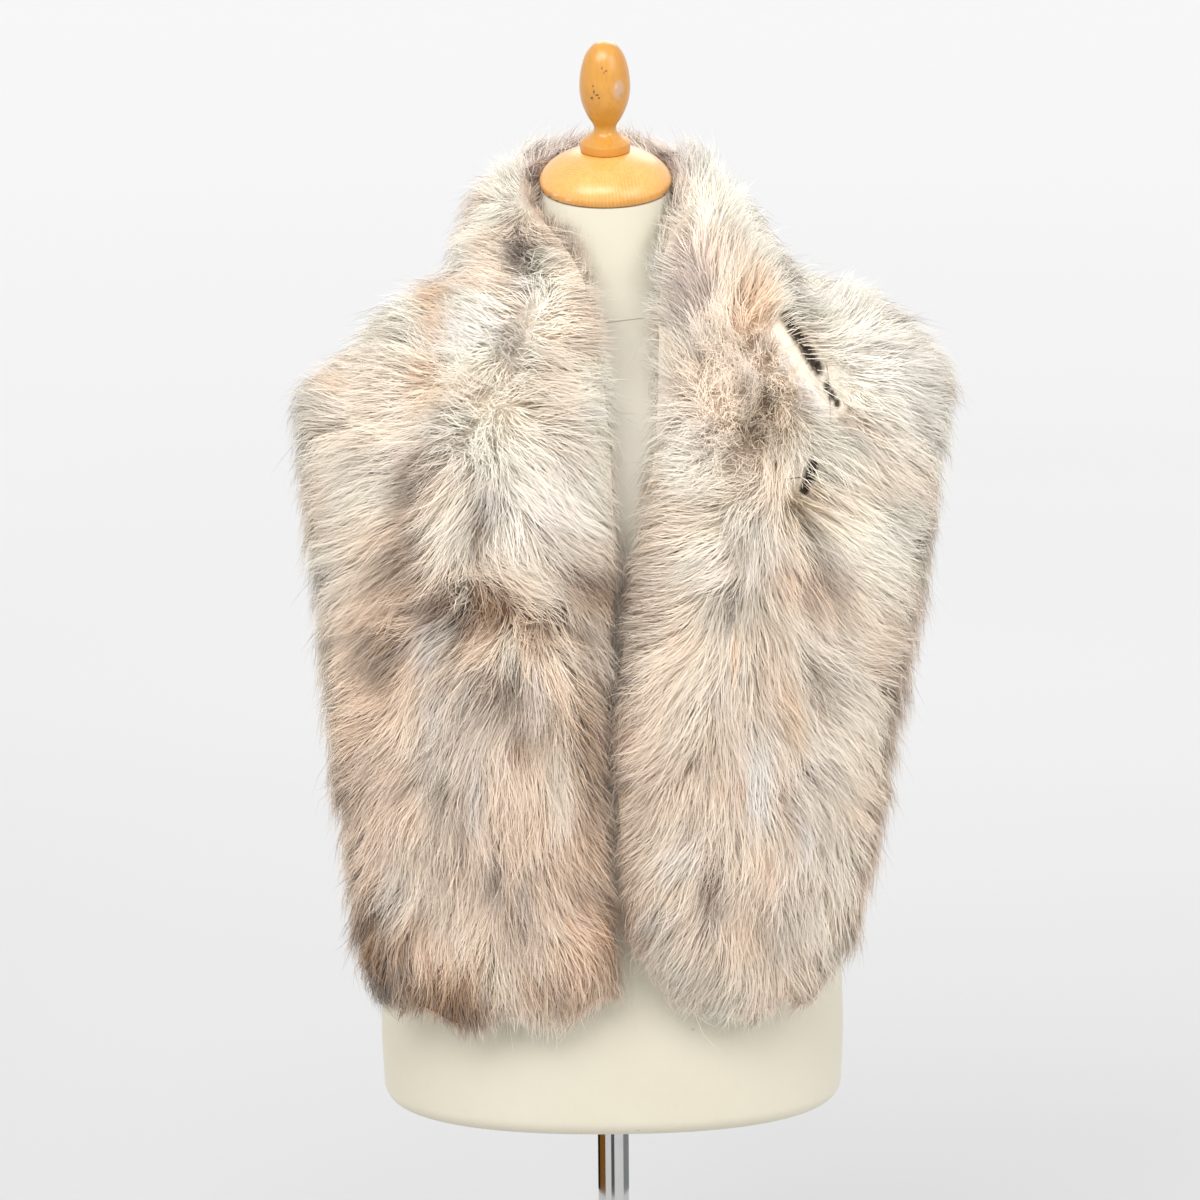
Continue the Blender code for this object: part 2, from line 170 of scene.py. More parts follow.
def ramp(tree, source, stops):
    node = addNode(tree, "ShaderNodeValToRGB", {"Fac": source})
    elements = node.color_ramp.elements
    while len(elements) < len(stops):
        elements.new(0.5)
    for element, (place, colour) in zip(elements, stops):
        element.position = place
        element.color = (*colour, 1) if hasattr(colour, "__len__") else (colour,) * 3 + (1,)
    return node.outputs["Color"]


def mixed(tree, share, *colours, blend="MIX"):
    links = {0: share}
    for index, colour in enumerate(colours, 6):
        links[index] = colour if isinstance(colour, bpy.types.NodeSocket) else (*colour[:3], 1)
    return addNode(tree, "ShaderNodeMix", links, data_type="RGBA", blend_type=blend).outputs[2]


def maths(tree, operation, *values):
    return addNode(tree, "ShaderNodeMath", dict(enumerate(values)), operation=operation).outputs[0]


def vectorMaths(tree, operation, *values):
    return addNode(tree, "ShaderNodeVectorMath", dict(enumerate(values)), operation=operation).outputs


def stained(tree, colour, mask, strength, tone):  # a screen tone laid over a colour through a mask
    return mixed(tree, maths(tree, "MULTIPLY", mask, strength), colour, linear(tone))


def noiseAt(tree, vector, scale, detail=3.0, roughness=0.5):
    links = {"Vector": vector, "Scale": scale, "Detail": detail, "Roughness": roughness}
    return addNode(tree, "ShaderNodeTexNoise", links).outputs["Fac"]


# Effects that more than one material uses
def makeGrainGroup():  # faint growth rings and long streaks round the group's own Z axis
    tree, given, out = newGroup(
        "woodGrain",
        [vectorSocket("Vector"), floatSocket("Ring Scale", 60.0), floatSocket("Ring Share", 0.5)],
        [("Color", "NodeSocketColor"), ("Height", "NodeSocketFloat")],
    )
    bend = noiseAt(tree, given["Vector"], 22.0, 2.0)
    swirl = addNode(tree, "ShaderNodeVectorMath", {0: bend, "Scale": 0.008}, operation="SCALE")
    shifted = vectorMaths(tree, "ADD", given["Vector"], swirl.outputs[0])[0]
    links = {"Vector": shifted, "Scale": given["Ring Scale"], "Distortion": 1.6, "Detail": 2.0}
    links["Detail Scale"] = 0.8
    rings = addNode(tree, "ShaderNodeTexWave", links, wave_type="RINGS", rings_direction="Z").outputs["Fac"]
    lines = maths(tree, "MULTIPLY", ramp(tree, rings, [(0.45, 0.0), (0.95, 1.0)]), given["Ring Share"])
    shown = ramp(tree, noiseAt(tree, given["Vector"], 30.0, 2.0), [(0.42, 0.15), (0.60, 1.0)])
    links = {"Vector": given["Vector"], "Scale": (1.0, 1.0, 0.07)}
    stretched = addNode(tree, "ShaderNodeMapping", links).outputs[0]
    streaks = ramp(tree, noiseAt(tree, stretched, 420.0, 3.0), [(0.34, 1.0), (0.58, 0.0)])
    cloud = ramp(tree, noiseAt(tree, given["Vector"], 34.0, 2.0), [(0.35, 0.0), (0.7, 1.0)])
    base = mixed(tree, cloud, linear((241, 182, 92)), linear((232, 168, 76)))
    base = stained(tree, base, lines, shown, (254, 222, 150))
    tree.links.new(stained(tree, base, streaks, 0.28, (208, 138, 52)), out["Color"])
    tree.links.new(maths(tree, "SUBTRACT", 1.0, streaks), out["Height"])
    return tree


def makeSpotGroup():  # a soft-edged round or long mark at one place, ragged at its rim
    tree, given, out = newGroup(
        "markAt",
        [
            vectorSocket("Vector"), vectorSocket("Place"), vectorSocket("Size"),
            floatSocket("Softness", 0.3), floatSocket("Ragged Scale", 700.0), floatSocket("Ragged", 0.9),
        ],
        [("Mask", "NodeSocketFloat")],
    )
    away = vectorMaths(tree, "SUBTRACT", given["Vector"], given["Place"])[0]
    rough = noiseAt(tree, given["Vector"], given["Ragged Scale"], 2.0)
    scaled = vectorMaths(tree, "DIVIDE", away, given["Size"])[0]
    reach = vectorMaths(tree, "LENGTH", scaled)["Value"]
    unevenness = maths(tree, "MULTIPLY", maths(tree, "SUBTRACT", rough, 0.5), given["Ragged"])
    ragged = maths(tree, "ADD", reach, unevenness)
    start = maths(tree, "SUBTRACT", 1.0, given["Softness"])
    links = {"Value": ragged, "From Min": start, "From Max": 1.0, "To Min": 1.0, "To Max": 0.0}
    tree.links.new(addNode(tree, "ShaderNodeMapRange", links).outputs["Result"], out["Mask"])
    return tree


def makeWearGroup():  # fine scuffs and rubbed patches, as a mask
    tree, given, out = newGroup(
        "rubbedWear",
        [vectorSocket("Vector"), floatSocket("Scale", 90.0), floatSocket("Amount", 0.5)],
        [("Mask", "NodeSocketFloat")],
    )
    wide = noiseAt(tree, given["Vector"], maths(tree, "MULTIPLY", given["Scale"], 0.2), 2.0)
    fine = noiseAt(tree, given["Vector"], given["Scale"], 5.0, 0.7)
    both = maths(tree, "MULTIPLY", wide, fine)
    edge = maths(tree, "SUBTRACT", 0.5, maths(tree, "MULTIPLY", given["Amount"], 0.3))
    links = {"Value": both, "From Min": edge, "From Max": maths(tree, "ADD", edge, 0.12)}
    tree.links.new(addNode(tree, "ShaderNodeMapRange", links).outputs["Result"], out["Mask"])
    return tree


grainGroup, spotGroup, wearGroup = makeGrainGroup(), makeSpotGroup(), makeWearGroup()


def placeGroup(tree, group, links):
    return addNode(tree, "ShaderNodeGroup", links, node_tree=group).outputs


def spotMask(tree, vector, place, size, softness, **others):
    links = {"Vector": vector, "Place": place, "Size": size, "Softness": softness}
    links.update({label.replace("_", " "): value for label, value in others.items()})
    return placeGroup(tree, spotGroup, links)["Mask"]


def objectVector(tree):
    return tree.nodes.new("ShaderNodeTexCoord").outputs["Object"]


def bumped(tree, shader, height, strength, distance):
    node = addNode(tree, "ShaderNodeBump", {"Height": height, "Strength": strength, "Distance": distance})
    tree.links.new(node.outputs["Normal"], shader.inputs["Normal"])


# Mesh helpers
def addPiece(name, mesh, material, stands=()):
    mesh.materials.clear()
    mesh.materials.append(material)
    piece = bpy.data.objects.new(name, mesh)
    bpy.context.scene.collection.objects.link(piece)
    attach(piece, "root")
    if stands:
        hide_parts(*stands)
    return piece


def meshOf(name, points, faces):
    mesh = bpy.data.meshes.new(name)
    mesh.from_pydata([tuple(p) for p in points], [], [tuple(f) for f in faces])
    mesh.validate()
    shape = bmesh.new()
    shape.from_mesh(mesh)
    bmesh.ops.recalc_face_normals(shape, faces=shape.faces)
    shape.to_mesh(mesh)
    shape.free()
    mesh.shade_smooth()
    mesh.set_sharp_from_angle(angle=math.radians(38))
    return mesh


def catmull(rows, place):  # a smooth curve through rows of numbers
    rows = np.asarray(rows, float)
    index = min(int(place), len(rows) - 2)
    share = place - index
    before, start = rows[max(index - 1, 0)], rows[index]
    end, after = rows[index + 1], rows[min(index + 2, len(rows) - 1)]
    slopeIn, slopeOut = (end - before) / 2, (after - start) / 2
    square, cube = share**2, share**3
    rising = 3 * square - 2 * cube
    curve = start * (1 - rising) + end * rising + slopeIn * (cube - 2 * square + share)
    return curve + slopeOut * (cube - square)


def latheMesh(name, profile, steps, place=Matrix.Identity(4)):  # the profile's rows: radius, height
    points, faces, rings = [], [], []
    for radius, height in profile:
        count = steps if radius > 0 else 1
        rings.append(range(len(points), len(points) + count))
        for step in range(count):
            angle = 2 * math.pi * step / steps
            points.append(place @ Vector((radius * math.cos(angle), radius * math.sin(angle), height)))
    for low, high in zip(rings, rings[1:]):
        for step in range(steps):
            corners = [low[k % len(low)] for k in (step, step + 1)]
            corners += [high[k % len(high)] for k in (step + 1, step)]
            faces.append(list(dict.fromkeys(corners)))
    return meshOf(name, points, faces)


def arcPoints(centre, radius, start, stop, steps):
    angles = [math.radians(start + (stop - start) * k / steps) for k in range(steps + 1)]
    return [(centre[0] + radius * math.cos(a), centre[1] + radius * math.sin(a)) for a in angles]


# Dress form
formLook = {
    "hipCut": 0.330,
    "edgeRound": 0.014,
    "edgeSteps": 8,
    "squareness": 2.3,
    "sides": 144,
    "rowSteps": 6,
    "bustSpread": 0.078,
    "bustHeight": 0.455,
    "bustSize": 0.062,
    "bustRise": 0.016,
    "leanFrom": 0.650,
    "neckTop": 0.729,
    "capTilt": math.radians(13),
    "socketDepth": 0.060,
    "socketRadius": 0.0128,
    "jersey": (208, 202, 185),
    "secondTone": (204, 197, 178),
    "knitTone": (198, 190, 167),
    "paintedChestLight": (244, 237, 224),  # painted light: a paler tone over the chest and neck, where the stole shades them
    "chest": (0.0, -0.09, 0.87),
    "chestSize": (0.075, 0.16, 0.13),
    "markPixels": [(693, 1029), (638, 1130)],
    "markSizes": [(0.0018, 0.02, 0.0010), (0.0022, 0.02, 0.0008)],
    "markTone": (150, 140, 120),
    "seamPixels": [(597, 324), (651, 317)],
    "seamTone": (128, 110, 88),
}
formRows = [  # height over the hip cut, half width, front, back
    (0.014, 0.1840, 0.116, 0.120), (0.065, 0.1855, 0.116, 0.128), (0.120, 0.1810, 0.111, 0.126),
    (0.175, 0.1640, 0.101, 0.108), (0.225, 0.1400, 0.093, 0.088), (0.275, 0.1260, 0.089, 0.078),
    (0.330, 0.1300, 0.095, 0.083), (0.390, 0.1420, 0.103, 0.095), (0.450, 0.1500, 0.108, 0.104),
    (0.510, 0.1580, 0.101, 0.110), (0.560, 0.1660, 0.088, 0.108), (0.590, 0.1620, 0.076, 0.098),
    (0.615, 0.1420, 0.067, 0.087), (0.640, 0.1080, 0.060, 0.076), (0.662, 0.0780, 0.055, 0.068),
    (0.685, 0.0590, 0.051, 0.060), (0.708, 0.0525, 0.0485, 0.053), (0.729, 0.0490, 0.0475, 0.0485),
]


def squaredRing():  # a rounded square, reaching one unit each way
    angles = 2 * math.pi * np.arange(formLook["sides"]) / formLook["sides"]
    power = 2 / formLook["squareness"]
    return [np.sign(wave) * np.abs(wave) ** power for wave in (np.cos(angles), np.sin(angles))]


def formRing(height, halfWidth, front, back, z=None):
    wide, deep = squaredRing()
    x = halfWidth * wide
    y = np.where(deep > 0, back, front) * deep
    across = (np.abs(x) - formLook["bustSpread"]) / formLook["bustSize"]
    along = (height - formLook["bustHeight"]) / formLook["bustSize"]
    bust = formLook["bustRise"] * np.exp(-across * across - along * along)
    y = np.where(y < 0, y - bust, y)
    lean = max(0.0, (height - formLook["leanFrom"]) / (formLook["neckTop"] - formLook["leanFrom"]))
    level = formLook["hipCut"] + height + y * math.tan(formLook["capTilt"]) * lean
    return np.stack([x, y, level if z is None else np.full(len(x), z)], 1)


def makeForm(material):
    hip, base = formRows[0], formLook["hipCut"]
    socket = unit(np.stack(squaredRing(), 1)) * formLook["socketRadius"]
    heights = (base + formLook["socketDepth"], base)
    rings = [np.column_stack([socket, np.full(len(socket), z)]) for z in heights]
    steps = formLook["edgeSteps"]
    for step in range(steps):
        angle = math.radians(90 * step / steps)
        inset = formLook["edgeRound"] * (1 - math.sin(angle))
        z = base + formLook["edgeRound"] * (1 - math.cos(angle))
        rings.append(formRing(0.0, hip[1] - inset, hip[2] - inset, hip[3] - inset, z))
    places = (len(formRows) - 1) * formLook["rowSteps"]
    rings += [formRing(*catmull(formRows, i / formLook["rowSteps"])) for i in range(places + 1)]
    count = formLook["sides"]
    points = np.concatenate(rings)
    faces = [tuple(range(count)), tuple(range(len(points) - count, len(points)))]
    for level in range(len(rings) - 1):
        for side in range(count):
            after = (side + 1) % count
            low, high = level * count, (level + 1) * count
            faces.append((low + side, low + after, high + after, high + side))
    return addPiece("jersey_form", meshOf("jersey_form", points, faces), material, ["dress_form"])


def jerseyMaterial():
    surface = {"Roughness": 0.9, "Sheen Weight": 0.25, "Sheen Roughness": 0.5, "Specular IOR Level": 0.2}
    material, tree, shader = newMaterial("jersey", surface)
    vector = objectVector(tree)
    loops = addNode(tree, "ShaderNodeMapping", {"Vector": vector, "Scale": (1.0, 1.0, 0.75)}).outputs[0]
    cells = addNode(tree, "ShaderNodeTexVoronoi", {"Vector": loops, "Scale": 950.0}).outputs["Distance"]
    links = {"Vector": vector, "Scale": 260.0, "Distortion": 2.0, "Detail": 1.0}
    ribs = addNode(tree, "ShaderNodeTexWave", links, bands_direction="X").outputs["Fac"]
    soft = ramp(tree, noiseAt(tree, vector, 9.0, 3.0), [(0.3, 0.0), (0.75, 1.0)])
    knit = mixed(tree, soft, linear(formLook["jersey"]), linear(formLook["secondTone"]))
    knit = stained(tree, knit, cells, 0.16, formLook["knitTone"])
    # Painted light: the chest is painted paler where the stole shades it
    chest = spotMask(tree, vector, formLook["chest"], formLook["chestSize"], 0.8, Ragged=0.0)
    knit = mixed(tree, chest, knit, linear(formLook["paintedChestLight"]))
    formTree = treeOf(*weldedArrays("dress_form"))
    for place, size in zip(seenSpots(formTree, formLook["markPixels"]), formLook["markSizes"]):
        knit = stained(tree, knit, spotMask(tree, vector, place, size, 0.5), 0.5, formLook["markTone"])
    low, high = (Vector(spot) for spot in seenSpots(formTree, formLook["seamPixels"]))
    across = Vector((-(high.z - low.z) / (high.x - low.x), 0, 1)).normalized()
    level = vectorMaths(tree, "DOT_PRODUCT", vector, tuple(across))["Value"]
    off = maths(tree, "ABSOLUTE", maths(tree, "SUBTRACT", level, across.dot(low)))
    links = {"Value": off, "From Min": 0.0002, "From Max": 0.0006, "To Min": 1.0, "To Max": 0.0}
    seam = addNode(tree, "ShaderNodeMapRange", links).outputs["Result"]
    knit = stained(tree, knit, seam, 0.6, formLook["seamTone"])
    tree.links.new(knit, shader.inputs["Base Color"])
    height = maths(tree, "ADD", maths(tree, "MULTIPLY", cells, 0.6), maths(tree, "MULTIPLY", ribs, 0.4))
    height = maths(tree, "SUBTRACT", height, maths(tree, "MULTIPLY", seam, 2.0))
    bumped(tree, shader, height, 0.25, 0.0004)
    return material


# Neck cap and finial
turnedLook = {
    "capRadius": 0.0508,
    "capFootRadius": 0.0495,
    "capRim": 0.006,
    "capDomeRise": 0.0272,
    "domePower": 1.8,
    "ringRadius": 0.0193,
    "ringBand": 0.0068,
    "gap": 0.0003,
    "steps": 128,
    "eggSteps": 4,
    "domeSteps": 28,
    "bevel": 0.0006,
    "ringRounds": (0.0008, 0.0005),
}
eggRows = [  # radius and height over the cap's foot
    (0.0164, 0.0396), (0.0122, 0.0424), (0.0094, 0.0450), (0.0085, 0.0484), (0.0096, 0.0523),
    (0.0131, 0.0577), (0.0172, 0.0670), (0.0191, 0.0760), (0.0194, 0.0830), (0.0187, 0.0910),
    (0.0174, 0.0980), (0.0146, 0.1060), (0.0104, 0.1120), (0.0060, 0.1152), (0.0000, 0.1165),
]
capPlace = Matrix.Translation((0, 0, formLook["hipCut"] + formLook["neckTop"]))
capPlace = capPlace @ Matrix.Rotation(formLook["capTilt"], 4, "X")


def domeHeight(radius):
    look = turnedLook
    power = look["domePower"]
    return look["capRim"] + look["capDomeRise"] * (1 - (radius / look["capRadius"]) ** power) ** (1 / power)


def makeTurnedWood(capMaterial, finialMaterial):
    look = turnedLook
    bevel, foot = look["bevel"], look["capFootRadius"]
    profile = [(0, look["gap"]), (foot - bevel, look["gap"]), (foot, look["gap"] + bevel)]
    profile += [(look["capRadius"], look["capRim"])]
    last = math.acos(look["ringRadius"] / look["capRadius"])
    for step in range(1, look["domeSteps"] + 1):
        radius = look["capRadius"] * math.cos(last * step / look["domeSteps"])
        profile.append((radius, domeHeight(radius)))
    profile += [(0, domeHeight(look["ringRadius"]))]
    mesh = latheMesh("turned_cap", profile, look["steps"], capPlace)
    addPiece("turned_cap", mesh, capMaterial, ["neck_cap"])
    foot, ring = domeHeight(look["ringRadius"]) + look["gap"], look["ringRadius"]
    lower, upper = look["ringRounds"]
    profile = [(0, foot), (ring - lower, foot)]
    profile += arcPoints((ring - lower, foot + lower), lower, -60, 0, 3)
    profile += arcPoints((ring - upper, foot + look["ringBand"] - upper), upper, 0, 70, 3)
    places = (len(eggRows) - 1) * look["eggSteps"]
    profile += [tuple(np.maximum(catmull(eggRows, i / look["eggSteps"]), 0)) for i in range(places)]
    mesh = latheMesh("turned_finial", profile + [eggRows[-1]], look["steps"], capPlace)
    addPiece("turned_finial", mesh, finialMaterial, ["finial"])


def woodMaterial(name, centre, turn, rings, ringShare, tint, shadeBand, shadeBandTone, marks):
    surface = {"Roughness": 0.34, "Coat Weight": 0.5, "Coat Roughness": 0.28}
    material, tree, shader = newMaterial(name, surface)
    vector = objectVector(tree)
    back = tuple(-c for c in centre)
    moved = vectorMaths(tree, "ADD", vector, back)[0]
    grainAxis = addNode(tree, "ShaderNodeMapping", {"Vector": moved, "Rotation": turn}).outputs[0]
    links = {"Vector": grainAxis, "Ring Scale": rings, "Ring Share": ringShare}
    grain = placeGroup(tree, grainGroup, links)
    colour = mixed(tree, 1.0, grain["Color"], tint, blend="MULTIPLY")
    axis = capPlace.to_3x3() @ Vector((0, 0, 1))
    height = vectorMaths(tree, "DOT_PRODUCT", vector, tuple(axis))["Value"]
    height = maths(tree, "SUBTRACT", height, axis.dot(capPlace.translation))
    # Painted shade: a darker band between two heights, a shadow line under the cap and a shaded side on the
    # finial's ring
    beyond = maths(tree, "ABSOLUTE", maths(tree, "SUBTRACT", height, (shadeBand[0] + shadeBand[1]) / 2))
    inShadeBand = maths(tree, "LESS_THAN", beyond, (shadeBand[1] - shadeBand[0]) / 2)
    colour = stained(tree, colour, inShadeBand, 0.75, shadeBandTone)
    for place, size, softness, strength, tone in marks:
        mask = spotMask(tree, vector, place, size, softness, Ragged_Scale=1900.0, Ragged=1.3)
        colour = stained(tree, colour, mask, strength, tone)
    tree.links.new(colour, shader.inputs["Base Color"])
    wear = placeGroup(tree, wearGroup, {"Vector": vector, "Scale": 160.0, "Amount": 0.5})["Mask"]
    rough = maths(tree, "ADD", 0.30, maths(tree, "MULTIPLY", wear, 0.25))
    tree.links.new(rough, shader.inputs["Roughness"])
    bumped(tree, shader, grain["Height"], 0.12, 0.0002)
    return material


# Stand
standLook = {
    "plateRadius": 0.150,
    "plateThickness": 0.009,
    "plateRound": 0.003,
    "footBevel": 0.002,
    "bossRadius": 0.021,
    "bossTop": 0.032,
    "bossFillet": 0.006,
    "bossRound": 0.002,
    "poleRadius": 0.0125,
    "poleSeat": 0.012,
    "gap": 0.0003,
    "steps": 128,
    "scratchPlace": (0.0, -0.0125, 0.3055),
    "scratchSize": (0.009, 0.02, 0.0004),
}


def makeStand(poleMaterial, plateMaterial):
    look = standLook
    bore, boss, top = look["poleRadius"] + look["gap"], look["bossRadius"], look["bossTop"]
    wide, bevel = look["plateRadius"], look["footBevel"]
    profile = [(0, 0), (wide - bevel, 0), (wide, bevel)]
    corner = (wide - look["plateRound"], look["plateThickness"] - look["plateRound"])
    profile += arcPoints(corner, look["plateRound"], 0, 90, 6)
    fillet = (boss + look["bossFillet"], look["plateThickness"] + look["bossFillet"])
    profile += arcPoints(fillet, look["bossFillet"], 270, 180, 6)
    rounding = look["bossRound"]
    profile += arcPoints((boss - rounding, top - rounding), rounding, 0, 90, 4)
    profile += [(bore, top), (bore, look["poleSeat"]), (0, look["poleSeat"])]
    mesh = latheMesh("steel_plate", profile, look["steps"])
    addPiece("steel_plate", mesh, plateMaterial, ["base_plate"])
    foot = look["poleSeat"] + look["gap"]
    head = formLook["hipCut"] + formLook["socketDepth"] - look["gap"]
    profile = [(0, foot), (look["poleRadius"], foot), (look["poleRadius"], head), (0, head)]
    mesh = latheMesh("chrome_pole", profile, look["steps"])
    addPiece("chrome_pole", mesh, poleMaterial, ["pole"])


def chromeMaterial(name, colour, roughness, wearScale):
    material, tree, shader = newMaterial(name, {"Metallic": 1.0, "Roughness": roughness})
    vector = objectVector(tree)
    wear = placeGroup(tree, wearGroup, {"Vector": vector, "Scale": wearScale, "Amount": 0.6})["Mask"]
    scratch = spotMask(tree, vector, standLook["scratchPlace"], standLook["scratchSize"], 0.4)
    tint = mixed(tree, maths(tree, "MULTIPLY", wear, 0.35), colour, tuple(c * 0.7 for c in colour))
    tint = mixed(tree, maths(tree, "MULTIPLY", scratch, 0.5), tint, (0.2, 0.2, 0.2))
    tree.links.new(tint, shader.inputs["Base Color"])
    rough = maths(tree, "ADD", roughness, maths(tree, "MULTIPLY", wear, 0.18))
    tree.links.new(rough, shader.inputs["Roughness"])
    return material


# The stole's pelts, split into skin and fur
pelts = [place + "_pelt_" + side for side in ("right", "left") for place in ("front", "collar", "shoulder")]
peltLook = {
    "seamReach": 0.0015,
    "neckAxis": (0.0, 0.025),
    "inset": 0.009,  # how far in from the ends of the hair a free edge of the skin lies
    "insetShare": 0.75,  # and how much of the way to the next corners at the most
    "rimReach": 0.105,  # how far from the neck's axis the collar's upper rim goes
    "skinThickness": 0.0015,
    "turnedIn": 0.034,  # how far down inside the collar the fur grows
    "turnedFrom": 0.985,  # and from which height
    "underShare": 0.42,  # how much of the pile's depth the dense underfur fills
}


def faceNormals(points, faces):
    a, b, c = (points[faces[:, k]] for k in range(3))
    return np.cross(b - a, c - a)


def cornerSums(count, faces, values):  # each face's value, added up at its corners
    sums = np.zeros((count, *values.shape[1:]))
    for corner in range(3):
        np.add.at(sums, faces[:, corner], values)
    return sums


def facePairs(faces):  # the two corners of each side of each face
    return np.concatenate([faces[:, [0, 1]], faces[:, [1, 2]], faces[:, [2, 0]]])


def edgesOf(faces):  # all the edges, and those that only one face has
    found, count = np.unique(np.sort(facePairs(faces), 1), axis=0, return_counts=True)
    return found, found[count == 1]


def nearestOn(tree, points):
    hits = [tree.find_nearest(Vector(p)) for p in points]
    return np.array([h[0][:] for h in hits]), np.array([h[2] for h in hits])


def splitPelt(node):  # which of a pelt's corners are on its skin, and which on its fur
    points, faces = solids[node]
    cross = faceNormals(points, faces)
    centres = points[faces].mean(1)
    nearest, _ = nearestOn(trees["dress_form"], centres)
    lean = (cross * unit(centres - nearest)).sum(1)
    for other in pelts:
        if other != node:
            found, _ = nearestOn(trees[other], centres)
            lean[np.linalg.norm(found - centres, axis=1) < peltLook["seamReach"]] = 0  # a wall along a seam
    onFur = cornerSums(len(points), faces, lean) > 0
    furFaces, skinFaces = faces[onFur[faces].all(1)], faces[~onFur[faces].any(1)]
    beside = np.zeros(len(points), bool)
    for other in pelts:
        if other != node:
            reached, _ = nearestOn(trees[other], points)
            beside |= np.linalg.norm(reached - points, axis=1) < peltLook["seamReach"]
    mixedFaces = onFur[faces].any(1) & ~onFur[faces].all(1)
    rimFaces = faces[mixedFaces & ~beside[faces].all(1)]
    below = points.copy()
    below[onFur], _ = nearestOn(treeOf(points, skinFaces), points[onFur])
    coatFaces = np.concatenate([furFaces, rimFaces])
    if node.startswith("collar"):
        rim = points[np.unique(rimFaces)]
        rim = rim[np.linalg.norm(rim[:, :2] - peltLook["neckAxis"], axis=1) < peltLook["rimReach"]]
        toRim = np.linalg.norm(points[:, None, :] - rim[None], axis=2).min(1)
        turned = ~onFur & (toRim < peltLook["turnedIn"]) & (points[:, 2] > peltLook["turnedFrom"])
        coatFaces = np.concatenate([coatFaces, skinFaces[turned[skinFaces].all(1)]])
    out = cornerSums(len(points), coatFaces, faceNormals(points, coatFaces))
    inset = np.zeros_like(points)
    for side in (furFaces, skinFaces):
        found, border = edgesOf(side)
        edge = np.zeros(len(points), bool)
        edge[border.ravel()] = True
        edge &= ~beside
        inwards, shared = np.zeros_like(points), np.zeros(len(points))
        for a, b in np.concatenate([found, found[:, ::-1]]):
            if edge[a] and not edge[b]:
                inwards[a] += points[b] - points[a]
                shared[a] += 1
        inwards /= np.maximum(shared, 1)[:, None]
        reach = np.linalg.norm(inwards, axis=1) * peltLook["insetShare"]
        inset += unit(inwards) * np.minimum(reach, peltLook["inset"])[:, None]
    depth = np.maximum(np.linalg.norm(points - below, axis=1), np.linalg.norm(inset, axis=1))
    onEdge = np.isin(np.arange(len(points)), rimFaces) & ~onFur
    return {
        "name": node, "points": points, "faces": faces, "furFaces": furFaces, "skinFaces": skinFaces,
        "coatFaces": coatFaces, "onFur": onFur, "below": below, "inset": inset, "normals": unit(out),
        "depth": depth, "onEdge": onEdge,
    }


print("stole: reading the packed pelts")
solids = {node: weldedArrays(node) for node in ["dress_form", *pelts]}
trees = {node: treeOf(*arrays) for node, arrays in solids.items()}
splitPelts = [splitPelt(node) for node in pelts]
for pelt in splitPelts:
    coat, depth = len(pelt["coatFaces"]), pelt["depth"].max().round(3)
    print("  ", pelt["name"], len(pelt["faces"]), "faces,", coat, "of them coat, depth", depth)

# One fur surface of all the pelts, for combing over
furPoints, furNormals, furDepths, furEdges = (
    np.concatenate([pelt[key] for pelt in splitPelts]) for key in ("points", "normals", "depth", "onEdge")
)
starts = np.cumsum([0] + [len(pelt["points"]) for pelt in splitPelts])
furFaces = np.concatenate([pelt["coatFaces"] + start for pelt, start in zip(splitPelts, starts)])
furPelt = np.concatenate([np.full(len(pelt["coatFaces"]), i) for i, pelt in enumerate(splitPelts)])
furTree = treeOf(furPoints, furFaces)


def weightsIn(points, faces):  # barycentric weights of points in their faces
    a, b, c = (furPoints[furFaces[faces][:, k]] for k in range(3))
    whole = np.cross(b - a, c - a)
    area = np.maximum((whole * whole).sum(1), 1e-20)
    second = (np.cross(points - a, c - a) * whole).sum(1) / area
    third = (np.cross(b - a, points - a) * whole).sum(1) / area
    return np.stack([1 - second - third, second, third], 1).clip(0, 1)


def onFurSurface(points):  # nearest spots of the fur, their normal, its depth, and how near its end it is
    spots, faces = nearestOn(furTree, points)
    flat = weightsIn(spots, faces)
    corners = furFaces[faces]
    normals = unit((furNormals[corners] * flat[:, :, None]).sum(1))
    return spots, normals, (furDepths[corners] * flat).sum(1), (furEdges[corners] * flat).sum(1)


